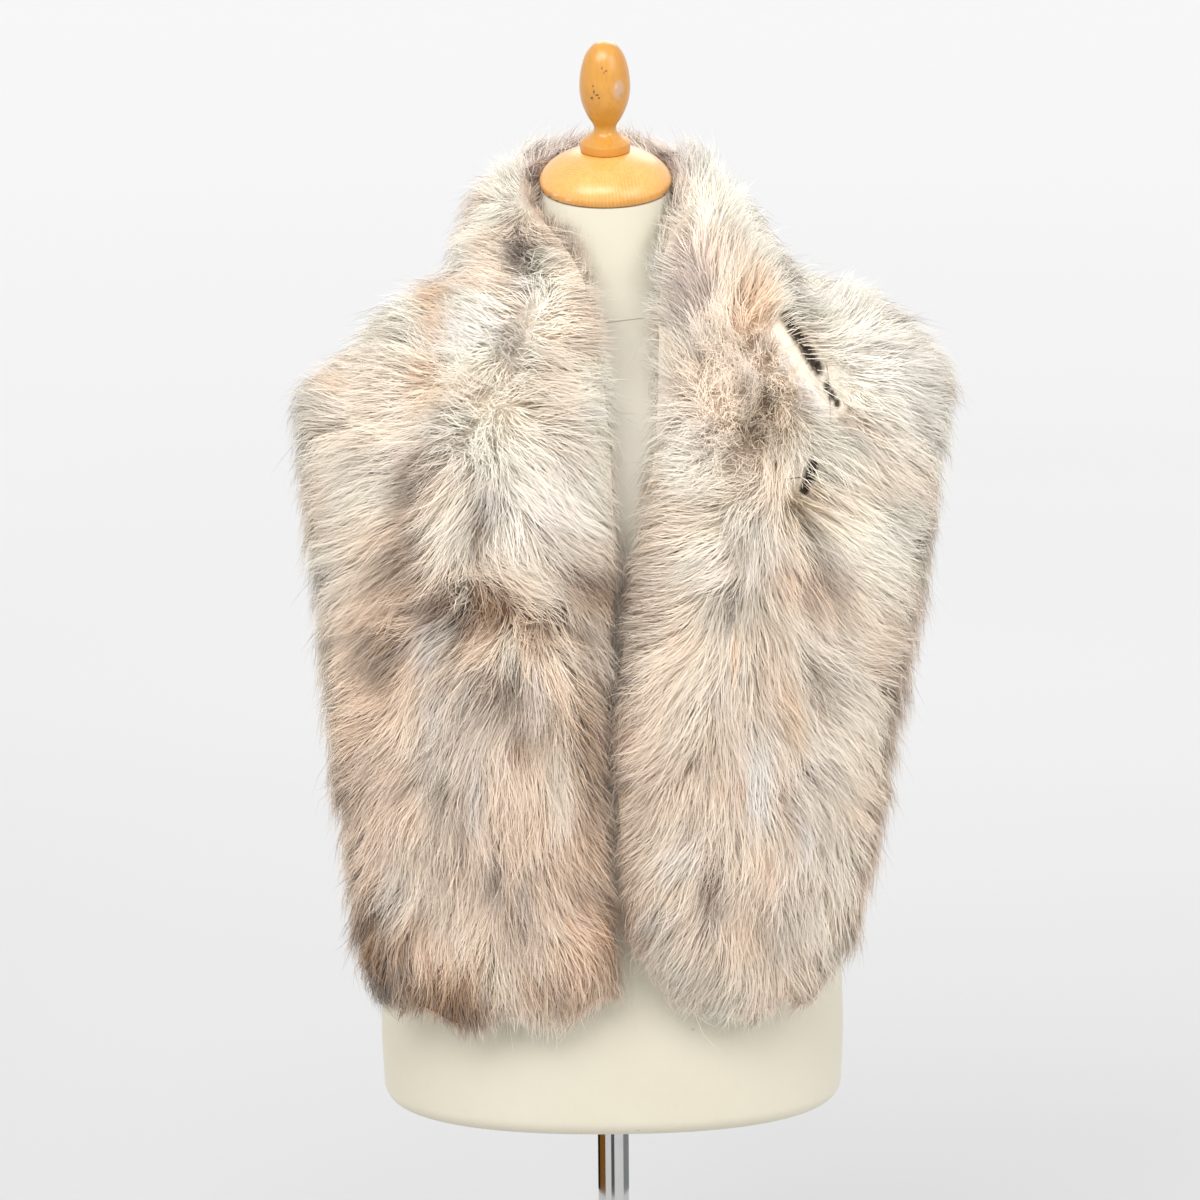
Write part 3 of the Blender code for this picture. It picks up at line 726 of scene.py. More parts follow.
# How the fur is combed on the front: pixel of the photograph, and which way the hair lies there
# as seen, in degrees (0 to the right, 90 up, 180 to the left, 270 down)
combing = [
    # wearer's right side, collar and shoulder
    (525, 175, 150), (558, 150, 60), (486, 175, 188), (456, 220, 190), (540, 235, 318), (555, 228, 312),
    (534, 205, 280), (567, 262, 352), (572, 310, 356), (585, 345, 350), (600, 388, 345), (570, 418, 352),
    (555, 430, 345), (600, 455, 330), (555, 475, 325), (540, 505, 311), (585, 520, 310), (510, 520, 300),
    (615, 490, 322), (480, 235, 176), (468, 274, 180), (462, 310, 184), (456, 340, 190), (488, 250, 170),
    (495, 335, 200), (450, 400, 212), (470, 420, 240), (428, 400, 226), (414, 460, 214), (405, 505, 202),
    (456, 505, 246), (450, 475, 215), (435, 550, 238), (495, 505, 300), (405, 316, 200), (360, 340, 186),
    (330, 364, 180), (375, 385, 195), (336, 415, 186), (375, 430, 190), (330, 430, 195), (360, 490, 205),
    (330, 535, 214), (375, 535, 210), (360, 580, 214), (390, 520, 206), (500, 380, 352), (520, 345, 350),
    (430, 290, 196),
    # wearer's right side, front
    (332, 592, 206), (364, 640, 214), (332, 672, 214), (380, 694, 224), (348, 735, 216), (338, 783, 224),
    (380, 767, 230), (357, 847, 248), (348, 895, 255), (396, 847, 262), (396, 910, 264), (364, 927, 258),
    (383, 968, 265), (412, 1006, 278), (437, 592, 220), (460, 612, 205), (478, 586, 20), (505, 590, 340),
    (540, 598, 20), (523, 624, 215), (571, 643, 335), (587, 688, 302), (600, 719, 284), (523, 672, 262),
    (498, 665, 240), (479, 633, 205), (555, 713, 290), (571, 751, 286), (523, 735, 276), (491, 767, 266),
    (444, 735, 262), (412, 713, 236), (405, 751, 240), (453, 799, 262), (491, 831, 270), (539, 815, 284),
    (581, 799, 291), (587, 847, 291), (539, 879, 281), (491, 895, 272), (444, 879, 265), (460, 943, 268),
    (491, 975, 275), (523, 975, 290), (571, 943, 300), (603, 927, 305), (587, 990, 287), (549, 1006, 290),
    (444, 1022, 266), (560, 560, 312), (600, 590, 318),
    # wearer's left side, collar and shoulder
    (680, 163, 115), (710, 160, 82), (725, 184, 60), (686, 190, 106), (668, 229, 188), (680, 271, 172),
    (665, 286, 176), (666, 262, 180), (710, 256, 66), (740, 250, 60), (755, 229, 45), (740, 295, 74),
    (752, 300, 80), (764, 272, 78), (788, 250, 50), (755, 205, 40), (700, 318, 110), (695, 340, 120),
    (710, 355, 76), (785, 400, 240), (740, 390, 66), (788, 292, 45), (830, 310, 30), (875, 298, 20),
    (875, 325, 355), (860, 346, 345), (905, 340, 345), (935, 340, 350), (890, 385, 330), (935, 385, 335),
    (860, 385, 322), (935, 430, 325), (890, 430, 318), (860, 430, 315), (920, 475, 320), (890, 475, 312),
    (836, 440, 322), (845, 490, 300), (870, 530, 340), (920, 520, 340), (890, 565, 302), (695, 448, 165),
    (674, 448, 194), (710, 490, 186), (680, 520, 190), (710, 535, 194), (665, 565, 182), (710, 580, 190),
    (755, 535, 240), (764, 580, 265), (785, 565, 285), (806, 550, 300), (830, 580, 305), (800, 500, 288),
    (770, 470, 250), (730, 455, 170), (812, 330, 20), (826, 345, 8), (838, 372, 340), (848, 398, 328),
    (772, 322, 238), (782, 345, 240), (792, 366, 245), (802, 390, 248), (760, 345, 235), (826, 470, 310),
    (800, 462, 230),
    # wearer's left side, front
    (648, 592, 185), (680, 601, 180), (638, 640, 190), (680, 649, 195), (696, 672, 215), (721, 624, 240),
    (743, 640, 270), (775, 608, 295), (807, 624, 305), (849, 640, 315), (887, 624, 310), (903, 672, 310),
    (880, 703, 320), (839, 719, 325), (807, 688, 300), (778, 703, 300), (766, 751, 285), (737, 719, 275),
    (632, 719, 195), (664, 751, 215), (632, 767, 195), (625, 815, 205), (664, 809, 225), (641, 863, 215),
    (680, 847, 235), (705, 799, 245), (727, 783, 262), (759, 815, 280), (791, 831, 285), (817, 783, 300),
    (849, 783, 310), (871, 751, 318), (871, 815, 300), (839, 847, 290), (807, 879, 275), (759, 879, 262),
    (721, 879, 245), (680, 904, 232), (648, 936, 225), (680, 958, 240), (711, 974, 240), (743, 942, 255),
    (775, 942, 270), (817, 927, 275), (839, 911, 270), (791, 990, 272), (759, 1006, 270), (743, 984, 255),
    (817, 968, 262),
]
combLook = {
    "softness": 0.012,  # metres within which a guide has full weight
    "sharpness": 3.2,
    "frontFrom": -0.05,  # how squarely the fur faces the camera where the photograph starts to rule
    "frontTo": 0.30,
    "neck": (0.0, 0.025, 1.075),
    "grazing": 0.25,  # the least that the fur is taken to face the camera
    "edgeFlattening": 0.6,
    "edgeReach": 0.115,  # how far from the neck its edge of the stole goes
    "edgeFrom": 0.98,  # and from which height
    "collarPart": 0.040,  # from the neck edge to the lengthwise parting of the collar
    "partHalf": 0.012,
    "hanging": (0, 0, -0.35),  # how much the hidden hair outside the parting hangs
    "swirl": 0.30,
    "swirlScales": (26.0, 95.0),
}


def guideVectors():
    table = np.array(combing, float)
    places, ways = [], []
    rays = photoRays(table[:, :2])
    for ray, angle in zip(rays, np.radians(table[:, 2])):
        hit, _, index, _ = furTree.ray_cast(Vector(cameraSpot), Vector(ray))
        if hit is None:
            continue
        normal = furNormals[furFaces[index]].mean(0)
        seen = cameraTurn @ np.array([math.cos(angle), math.sin(angle), 0.0])
        # In the fur's surface, and seen at that angle
        way = seen - ray * (seen @ normal) / min(ray @ normal, -combLook["grazing"])
        places.append(hit[:])
        ways.append(way)
    print("stole:", len(places), "of", len(table), "combing guides are on the fur")
    return np.array(places), unit(np.array(ways))


guidePlaces, guideWays = guideVectors()


def smoothStep(low, high, value):
    share = np.clip((value - low) / (high - low), 0, 1)
    return share * share * (3 - 2 * share)


def innerEdge():  # points along the neck edge of the stole, where the fur ends nearest the neck
    ends = [pelt["points"][np.unique(edgesOf(pelt["furFaces"])[1])] for pelt in splitPelts]
    ends = np.concatenate(ends)
    away = (ends - np.array(combLook["neck"])) * (1, 1, combLook["edgeFlattening"])
    near = np.linalg.norm(away, axis=1) < combLook["edgeReach"]
    return ends[near & (ends[:, 2] > combLook["edgeFrom"])]


neckEdge = innerEdge()


def flowAt(points, normals):
    away = points[:, None, :] - guidePlaces[None]
    weight = ((away**2).sum(2) + combLook["softness"] ** 2) ** (-combLook["sharpness"] / 2)
    seen = unit(weight @ guideWays)
    facing = turnedToCamera(points, normals)
    front = smoothStep(combLook["frontFrom"], combLook["frontTo"], facing)[:, None]
    fromNeck = unit(points - np.array(combLook["neck"]))
    toEdge = np.linalg.norm(points[:, None, :] - neckEdge[None], axis=2).min(1)
    part, half = combLook["collarPart"], combLook["partHalf"]
    side = smoothStep(part - half, part + half, toEdge)[:, None] * 2 - 1
    hidden = unit(fromNeck * side + np.array(combLook["hanging"]) * (side > 0))
    flow = front * seen + (1 - front) * hidden
    flow -= normals * (flow * normals).sum(1, keepdims=True)
    flow = unit(flow)
    wide, fine = combLook["swirlScales"]
    turn = np.array([noise.noise(Vector(p) * wide) * 2 + noise.noise(Vector(p) * fine) for p in points])
    turn = turn[:, None] * combLook["swirl"]
    return unit(flow * np.cos(turn) + np.cross(normals, flow) * np.sin(turn))


# The openings at the wearer's left shoulder: pixel of the photograph, half width there in pixels
slits = [
    (786, 317, 4), (791, 324, 5), (797, 333, 6), (803, 342, 6), (808, 351, 6), (813, 360, 5),
    (818, 368, 4), (827, 387, 1.5), (832, 395, 2), (837, 403, 1), (813, 465, 4), (810, 474, 5),
    (807, 483, 4), (804, 491, 3),
]
# The pale strip beside them
palePixels = [(779, 330), (787, 343), (795, 356), (803, 369), (811, 382), (819, 395), (824, 409)]
slitLook = {
    "pixel": 0.00079,
    # painted shade: the underfur in the openings is stained near black, as if in shadow
    "tone": (34, 27, 22),
    "paleTone": (246, 232, 212),
    "paleHalf": 8,
    "crossing": 0.15,  # the share of the hair that still lies across an opening
    "rootDark": 0.85,  # how dark the roots beside it are
}
# Where the coat differs: pixel of the photograph, half width and half height in pixels,
# how long the hair is, how curly, and how much of it there is
coatPatches = [
    (742, 390, 75, 85, 0.42, 1.0, 1.0),  # woolly stretch of the wearer's left collar
    (455, 395, 42, 80, 0.62, 0.8, 1.0),  # curls beside the wearer's right parting
    (560, 160, 36, 26, 0.70, 0.3, 1.0),
    (470, 600, 50, 34, 0.75, 0.5, 0.8),  # whorl
]
coatPatches += [(px, py, half + 8, half + 6, 0.45, 0.2, 0.0) for px, py, half in slits]
darkRoots = [(px + half + 9, py, 15, 11) for px, py, half in slits]
slitCores = [(px, py, half + 4, half + 3) for px, py, half in slits]
coatPatches += [(px - 3, py, 12, 9, 0.38, 0.2, 1.0) for px, py in palePixels]
coatLook = {
    "length": 0.047,
    "collarLength": 0.036,
    "collarHeights": (0.93, 1.03),  # between which the hair turns to the collar's length
    "lengthSpread": 0.20,
    "leaders": 11000,
    "locks": 1500,
    "steps": 6,
    "turning": 0.6,  # how much of the combing's way a path takes on at each step
    "lostGap": 1.1,  # how many steps off the fur a path ends
    "edgeGap": 0.4,  # and near the fur's edge
    "overhang": 0.004,
    "overhangSpread": 0.004,
    "trimmedTo": 0.12,  # the least share of its length that a strand at an edge keeps
    "lockPull": 0.48,
    "lockPower": 1.4,
    "lockReach": 0.03,
    "lockFacing": 0.6,  # the least cosine between a hair's root and its lock's
    "lockDepth": 0.0036,  # how much deeper or higher one lock lies than the next
    "thinBelow": 0.008,  # where the skin itself carries the hair, at the collar's inside
    "thinCut": 0.4,  # and how much shorter it is there
    "thinLift": 0.007,
    "stray": (0.13, 0.9),  # radians at random of straight hair, and more of curly hair
    "clearance": (0.022, 0.008),  # from the form, where hair starts to run along it and where it must
}


def photoPatches(points, patches):  # each patch's weight at points that face the camera
    pixels = toPhoto(points)
    table = np.array([row[:4] for row in patches], float)
    offset = (pixels[:, None, :] - table[None, :, :2]) / table[None, :, 2:4]
    return np.exp(-((offset**2).sum(2) ** 1.5))


def coatAt(points, normals):  # length, curl and density of the coat
    facing = smoothStep(-0.1, 0.2, turnedToCamera(points, normals))[:, None]
    weight = photoPatches(points, coatPatches) * facing
    table = np.array([row[4:] for row in coatPatches], float)
    length = np.prod(1 - weight * (1 - table[:, 0]), axis=1)
    curl = (weight * table[:, 1]).max(1)
    density = np.prod(1 - weight * (1 - table[:, 2]), axis=1)
    high = smoothStep(*coatLook["collarHeights"], points[:, 2])
    return length * (coatLook["length"] * (1 - high) + coatLook["collarLength"] * high), curl, density


def scatter(count, peltIndex=None):  # random spots of the fur surface, even over its area
    chosen = np.arange(len(furFaces)) if peltIndex is None else np.nonzero(furPelt == peltIndex)[0]
    area = np.linalg.norm(faceNormals(furPoints, furFaces[chosen]), axis=1)
    picked = chosen[rng.choice(len(chosen), count, p=area / area.sum())]
    a, b = rng.random(count), rng.random(count)
    a, b = np.where(a + b > 1, 1 - a, a), np.where(a + b > 1, 1 - b, b)
    weights = np.stack([1 - a - b, a, b], 1)[:, :, None]
    corners = furFaces[picked]
    normals = unit((furNormals[corners] * weights).sum(1))
    return (furPoints[corners] * weights).sum(1), normals, (furDepths[corners] * weights[:, :, 0]).sum(1)


def growLeaders():  # combed paths over the fur surface, and how far each can run before the edge
    roots, normals, depths = scatter(coatLook["leaders"])
    length, curl, _ = coatAt(roots, normals)
    length *= 1 + coatLook["lengthSpread"] * rng.standard_normal(len(roots)).clip(-2, 2)
    length *= 1 - coatLook["thinCut"] * (depths < coatLook["thinBelow"])
    flow = flowAt(roots, normals)
    least, more = coatLook["stray"]
    stray = (rng.standard_normal(len(roots)) * (least + more * curl))[:, None]
    steps = coatLook["steps"]
    paths, outs, deep, reach = [roots], [normals], [depths], np.zeros(len(roots))
    spots, running = roots, np.ones(len(roots), bool)
    for step in range(steps):
        way = unit(flow * np.cos(stray) + np.cross(normals, flow) * np.sin(stray))
        bodySpots, _ = nearestOn(trees["dress_form"], spots)
        offBody = unit(spots - bodySpots)
        into = np.minimum((way * offBody).sum(1), 0)
        near = smoothStep(*coatLook["clearance"], np.linalg.norm(spots - bodySpots, axis=1))
        way = unit(way - offBody * (into * near)[:, None])
        ahead = spots + way * (length / steps)[:, None]
        found, foundNormals, foundDepths, atEnd = onFurSurface(ahead)
        gap = np.linalg.norm(found - ahead, axis=1) * steps / length
        lost = (gap > coatLook["lostGap"]) | ((gap > coatLook["edgeGap"]) & (atEnd > 0.5))
        running &= ~lost
        spots = np.where(running[:, None], found, ahead)
        normals = np.where(running[:, None], foundNormals, normals)
        depths = np.where(running, foundDepths, depths)
        reach += np.where(running, length / steps, 0)
        flow = flowAt(spots, normals) * coatLook["turning"] + flow * (1 - coatLook["turning"])
        flow = unit(flow - normals * (flow * normals).sum(1, keepdims=True))
        paths.append(spots)
        outs.append(normals)
        deep.append(depths)
    return {
        "path": np.stack(paths, 1), "out": np.stack(outs, 1), "depth": np.stack(deep, 1), "reach": reach,
        "length": length, "whole": running, "curl": curl, "tone": rng.standard_normal(len(roots)),
    }


print("stole: combing the leading hairs")
leaders = growLeaders()
leaderTree = kdtree.KDTree(len(leaders["path"]))
for i, spot in enumerate(leaders["path"][:, 0]):
    leaderTree.insert(spot, i)
leaderTree.balance()
lockPicks = rng.choice(len(leaders["path"]), coatLook["locks"], replace=False)
lockTree = kdtree.KDTree(len(lockPicks))
for i in lockPicks:
    lockTree.insert(leaders["path"][i, 0], int(i))
lockTree.balance()
leaders["lock"] = np.array([lockTree.find(spot)[1] for spot in leaders["path"][:, 0]])


def gatherLocks():  # draws each leader's path towards its lock's own, more at the tip
    own, lock = leaders["path"], leaders["path"][leaders["lock"]]
    far = np.linalg.norm(own[:, 0] - lock[:, 0], axis=1)
    apart = (leaders["out"][:, 0] * leaders["out"][leaders["lock"], 0]).sum(1) < coatLook["lockFacing"]
    pull = np.where(apart | (far > coatLook["lockReach"]), 0, coatLook["lockPull"])[:, None]
    share = pull * np.linspace(0, 1, own.shape[1])[None] ** coatLook["lockPower"]
    leaders["path"] = own * (1 - share[:, :, None]) + lock * share[:, :, None]


gatherLocks()

# Colours of the coat
shades = {
    "white": (242, 232, 217), "cream": (230, 216, 199), "pinkCream": (234, 217, 204),
    "beige": (214, 193, 170), "tan": (199, 165, 133), "orangeTan": (212, 171, 129),
    "olive": (174, 149, 112), "taupe": (168, 145, 124), "mauve": (184, 162, 150), "brown": (148, 109, 70),
    "darkBrown": (108, 76, 50), "grey": (146, 132, 120), "black": (46, 38, 34),
}
colourPatches = [  # pixel of the photograph, half width and height in pixels, shade, strength
    (360, 410, 60, 70, "beige", 0.55), (470, 810, 190, 260, "beige", 0.7),
    (760, 760, 170, 260, "beige", 0.45), (350, 760, 60, 200, "tan", 0.5), (560, 880, 90, 140, "tan", 0.4),
    # the two mauve patches on the next line are painted shade: the inside of the collar behind the cap,
    # darker as if shaded
    (560, 160, 45, 28, "mauve", 0.8), (655, 165, 35, 30, "mauve", 0.8), (514, 250, 14, 26, "grey", 0.7),
    (505, 290, 12, 30, "taupe", 0.7), (505, 350, 14, 34, "taupe", 0.5),
    (430, 300, 14, 46, "orangeTan", 0.75), (420, 385, 18, 34, "tan", 0.9),
    (424, 392, 10, 22, "olive", 0.7), (404, 500, 18, 50, "taupe", 0.85),
    (398, 560, 26, 44, "brown", 0.55), (375, 640, 34, 70, "tan", 0.7),
    (330, 380, 20, 12, "orangeTan", 0.4), (480, 520, 14, 46, "grey", 0.55),
    (440, 480, 30, 40, "beige", 0.6), (478, 612, 62, 32, "brown", 0.85),
    (445, 614, 24, 20, "darkBrown", 0.6), (590, 592, 34, 26, "brown", 0.8),
    (540, 640, 70, 30, "brown", 0.7), (560, 700, 50, 46, "tan", 0.55),
    (500, 690, 26, 30, "darkBrown", 0.55), (436, 760, 28, 60, "grey", 0.45),
    (590, 760, 22, 90, "brown", 0.45), (500, 870, 40, 80, "beige", 0.5), (380, 820, 40, 70, "beige", 0.7),
    (368, 955, 28, 52, "brown", 1.0), (382, 980, 15, 14, "darkBrown", 0.9),
    (446, 1002, 62, 48, "brown", 1.0), (605, 950, 34, 70, "tan", 0.9), (520, 920, 26, 50, "taupe", 0.5),
    (560, 1000, 40, 30, "tan", 0.5), (580, 860, 30, 60, "tan", 0.55), (686, 270, 30, 60, "mauve", 0.75),
    (690, 255, 12, 14, "grey", 0.8), (706, 292, 12, 14, "grey", 0.6),
    (757, 300, 24, 38, "orangeTan", 0.65), (740, 390, 74, 72, "beige", 0.8),
    (690, 380, 30, 30, "taupe", 0.5), (770, 420, 40, 30, "olive", 0.55), (808, 512, 26, 26, "olive", 0.7),
    (800, 585, 36, 30, "tan", 0.65), (835, 600, 30, 40, "tan", 0.5), (828, 705, 15, 40, "grey", 0.5),
    (795, 725, 12, 40, "orangeTan", 0.45), (712, 905, 16, 36, "grey", 0.95),
    (700, 800, 30, 60, "taupe", 0.25), (780, 900, 60, 60, "beige", 0.4), (800, 980, 40, 40, "beige", 0.6),
    (640, 660, 30, 80, "taupe", 0.3), (755, 940, 20, 40, "tan", 0.4),
    (920, 400, 50, 80, "pinkCream", 0.8), (760, 780, 26, 60, "white", 0.35),
    (540, 500, 60, 60, "white", 0.6), (500, 430, 70, 60, "cream", 0.6),
    (424, 613, 13, 9, "darkBrown", 0.8), (447, 622, 18, 10, "darkBrown", 0.9),
    (503, 683, 12, 16, "darkBrown", 0.75), (529, 627, 34, 8, "darkBrown", 0.55),
    (557, 722, 9, 18, "darkBrown", 0.6), (518, 746, 9, 24, "darkBrown", 0.6),
    (463, 700, 9, 30, "grey", 0.6), (430, 778, 10, 34, "grey", 0.7), (412, 478, 12, 40, "taupe", 0.6),
    (468, 650, 20, 20, "brown", 0.6), (640, 820, 12, 40, "taupe", 0.4), (816, 690, 9, 22, "grey", 0.6),
    (735, 560, 14, 30, "taupe", 0.4), (478, 535, 8, 24, "brown", 0.5),
]
colourPatches += [  # single tufts
    (424, 655, 9, 34, "white", 0.65), (444, 640, 7, 28, "cream", 0.6), (463, 602, 10, 20, "cream", 0.45),
    (508, 657, 12, 26, "cream", 0.65), (536, 700, 13, 30, "white", 0.5), (566, 664, 22, 16, "cream", 0.5),
    (434, 712, 8, 22, "white", 0.5), (495, 985, 16, 24, "cream", 0.45),
    (395, 905, 18, 34, "pinkCream", 0.55), (560, 800, 13, 50, "cream", 0.5),
    (475, 800, 9, 40, "white", 0.45), (415, 950, 28, 34, "tan", 0.9), (521, 752, 12, 20, "brown", 0.6),
    (495, 890, 10, 30, "taupe", 0.7), (523, 908, 9, 24, "grey", 0.6), (534, 995, 12, 14, "brown", 0.7),
    (572, 1008, 22, 8, "brown", 0.7), (461, 846, 6, 40, "taupe", 0.7), (421, 780, 10, 24, "grey", 0.6),
    (480, 694, 8, 16, "darkBrown", 0.6), (462, 1006, 28, 22, "darkBrown", 0.5),
    (709, 899, 9, 13, "darkBrown", 0.7), (757, 785, 13, 44, "white", 0.6),
    (681, 866, 20, 14, "white", 0.45), (655, 925, 24, 12, "white", 0.45), (693, 822, 8, 16, "taupe", 0.7),
    (742, 792, 6, 22, "tan", 0.6), (785, 800, 8, 38, "tan", 0.5), (797, 838, 6, 26, "brown", 0.35),
    (767, 869, 14, 26, "tan", 0.45), (730, 621, 7, 9, "grey", 0.7), (735, 664, 4, 24, "orangeTan", 0.6),
    (761, 679, 8, 10, "taupe", 0.6), (806, 846, 7, 26, "white", 0.6), (822, 690, 7, 24, "brown", 0.4),
    # the two mauve patches on the next line are painted shade inside the collar behind the cap
    (712, 860, 10, 20, "taupe", 0.6), (600, 165, 42, 42, "mauve", 0.5), (545, 190, 20, 34, "mauve", 0.6),
]
colourPatches += [(px, py, 11, 11, "white", 0.9) for px, py in palePixels]
colourLook = {
    "base": "cream",
    "gain": 1.33,
    "warmth": (1.0, 1.0, 1.03),
    "streak": 0.19,
    "tuftStreak": 0.07,
    "lockStreak": 0.24,
    "paling": 0.45,  # how far the lightest hairs of a patch turn towards cream
    "rootShades": (0.36, 0.86),  # of brown hair and of white hair: partly the hair's own darker roots, partly painted shade in the gaps between locks
    # a warm tint of the roots, which warms that painted shade between the locks
    "rootWarmth": (1.0, 0.94, 0.87),
    "rootTo": 0.5,  # how far up a hair its root's shade goes
    "tipFrom": 0.45,
    "tipShade": 0.55,
    "streakShades": (1.9, 1.2),  # how strong the streaks are in dark fur, and how much less in pale
    "underShades": (0.62, 0.26),  # of the underfur where it is dark, and how much more where pale
    "underWarmth": (1.0, 0.965, 0.93),
    "cloudScale": 17.0,
    "beigeClouds": (-0.15, 0.45, 0.7),  # from and to which noise, and how strong
    "whiteClouds": (0.05, 0.5, 0.5),
    "foldShift": -0.03,
    "foldShare": 0.7,
    "lightFrom": 0.40,  # the brightness at which a shade counts as pale to some part
    "lightTo": 0.80,  # and in full
    "highest": 0.96,
}


def hairAlbedo(seen):  # one hair is lighter than the coat, where hairs shade each other
    return np.minimum(seen * colourLook["gain"] * colourLook["warmth"], (0.96, 0.92, 0.88))


linearShades = {name: hairAlbedo(np.array(linear(value))) for name, value in shades.items()}
lumaShares = np.array([0.2126, 0.7152, 0.0722])
creamTint = linearShades["cream"] / (linearShades["cream"] @ lumaShares)


def paleness(colour):
    return smoothStep(colourLook["lightFrom"], colourLook["lightTo"], colour @ lumaShares)[:, None]


def paintCoat(mesh, colour):
    colour = np.concatenate([colour, np.ones((*colour.shape[:-1], 1))], -1)
    layer = mesh.color_attributes.new("coatColour", "FLOAT_COLOR", "POINT")
    layer.data.foreach_set("color", colour.astype(np.float32).ravel())


def coatColour(points, normals):
    facing = smoothStep(-0.12, 0.15, turnedToCamera(points, normals))
    # The sides and back carry like patches, as if the front's were folded round
    folded = points * (-1, -1, 1) + (0, 0, colourLook["foldShift"])
    seen = np.where(facing[:, None] > 0.5, points, folded)
    weight = photoPatches(seen, colourPatches) * np.array([row[5] for row in colourPatches])
    weight *= np.where(facing[:, None] > 0.5, 1, colourLook["foldShare"])
    colour = np.tile(linearShades[colourLook["base"]], (len(points), 1))
    soft = np.array([noise.noise(Vector(p) * colourLook["cloudScale"]) for p in points])
    for shade, cloud in (("beige", soft), ("white", -soft)):
        low, high, strength = colourLook[shade + "Clouds"]
        colour += (linearShades[shade] - colour) * smoothStep(low, high, cloud)[:, None] * strength
    for column, row in enumerate(colourPatches):
        share = weight[:, column : column + 1]
        colour += (linearShades[row[4]] - colour) * share
    return colour


# Strands: tapered ribbons, rooted in the underfur and combed along the leading hairs
strandKinds = {
    "guard": {
        "share": 0.58, "segments": 3, "width": 0.00053, "length": 1.0, "spread": 0.16,
        "tipDepth": 0.0015, "tipSpread": 0.0042, "pull": 0.38, "twist": 0.9, "stray": 0.15,
    },
    "undercoat": {
        "share": 0.42, "segments": 2, "width": 0.00084, "length": 0.58, "spread": 0.20,
        "tipDepth": 0.0080, "tipSpread": 0.0040, "pull": 0.30, "twist": 1.0, "stray": 0.20,
    },
}
strandLook = {
    "total": 210000,
    "quickShare": 0.35,
    "nearness": 0.002,
    "rootSink": 0.003,
    "tuftDepth": 0.0020,
    "deepestTip": 0.7,  # the most of the open pile that a tip may lie under
    "risePower": 1.7,
    "reachLimits": (0.1, 1.25),
    "overrun": 1.2,
    "pullPower": 1.3,
    "curlLoosening": 0.5,
    "waveTurns": (4.5, 5),  # radians along a straight hair, and more along a curly one
    "waveSwing": (0.0011, 0.0045),  # and how wide it swings
    "strayPower": 1.5,
    "standing": 0.09,  # the share of the hair that stands up, and how high
    "rise": 0.012,
    "coil": 0.003,
    "coilTurns": 7,
    "taper": (0.55, 0.45, 0.8),  # width at the root, how much more in the middle, and its bias
    "widths": (0.75, 0.5),  # the least width at random, and how much more
    "normalBlend": 0.65,
}
bakeCell = {"slimness": 6, "sides": [0.15, 0.85], "foot": 0.06, "height": 0.88}
aTurn = 6.28


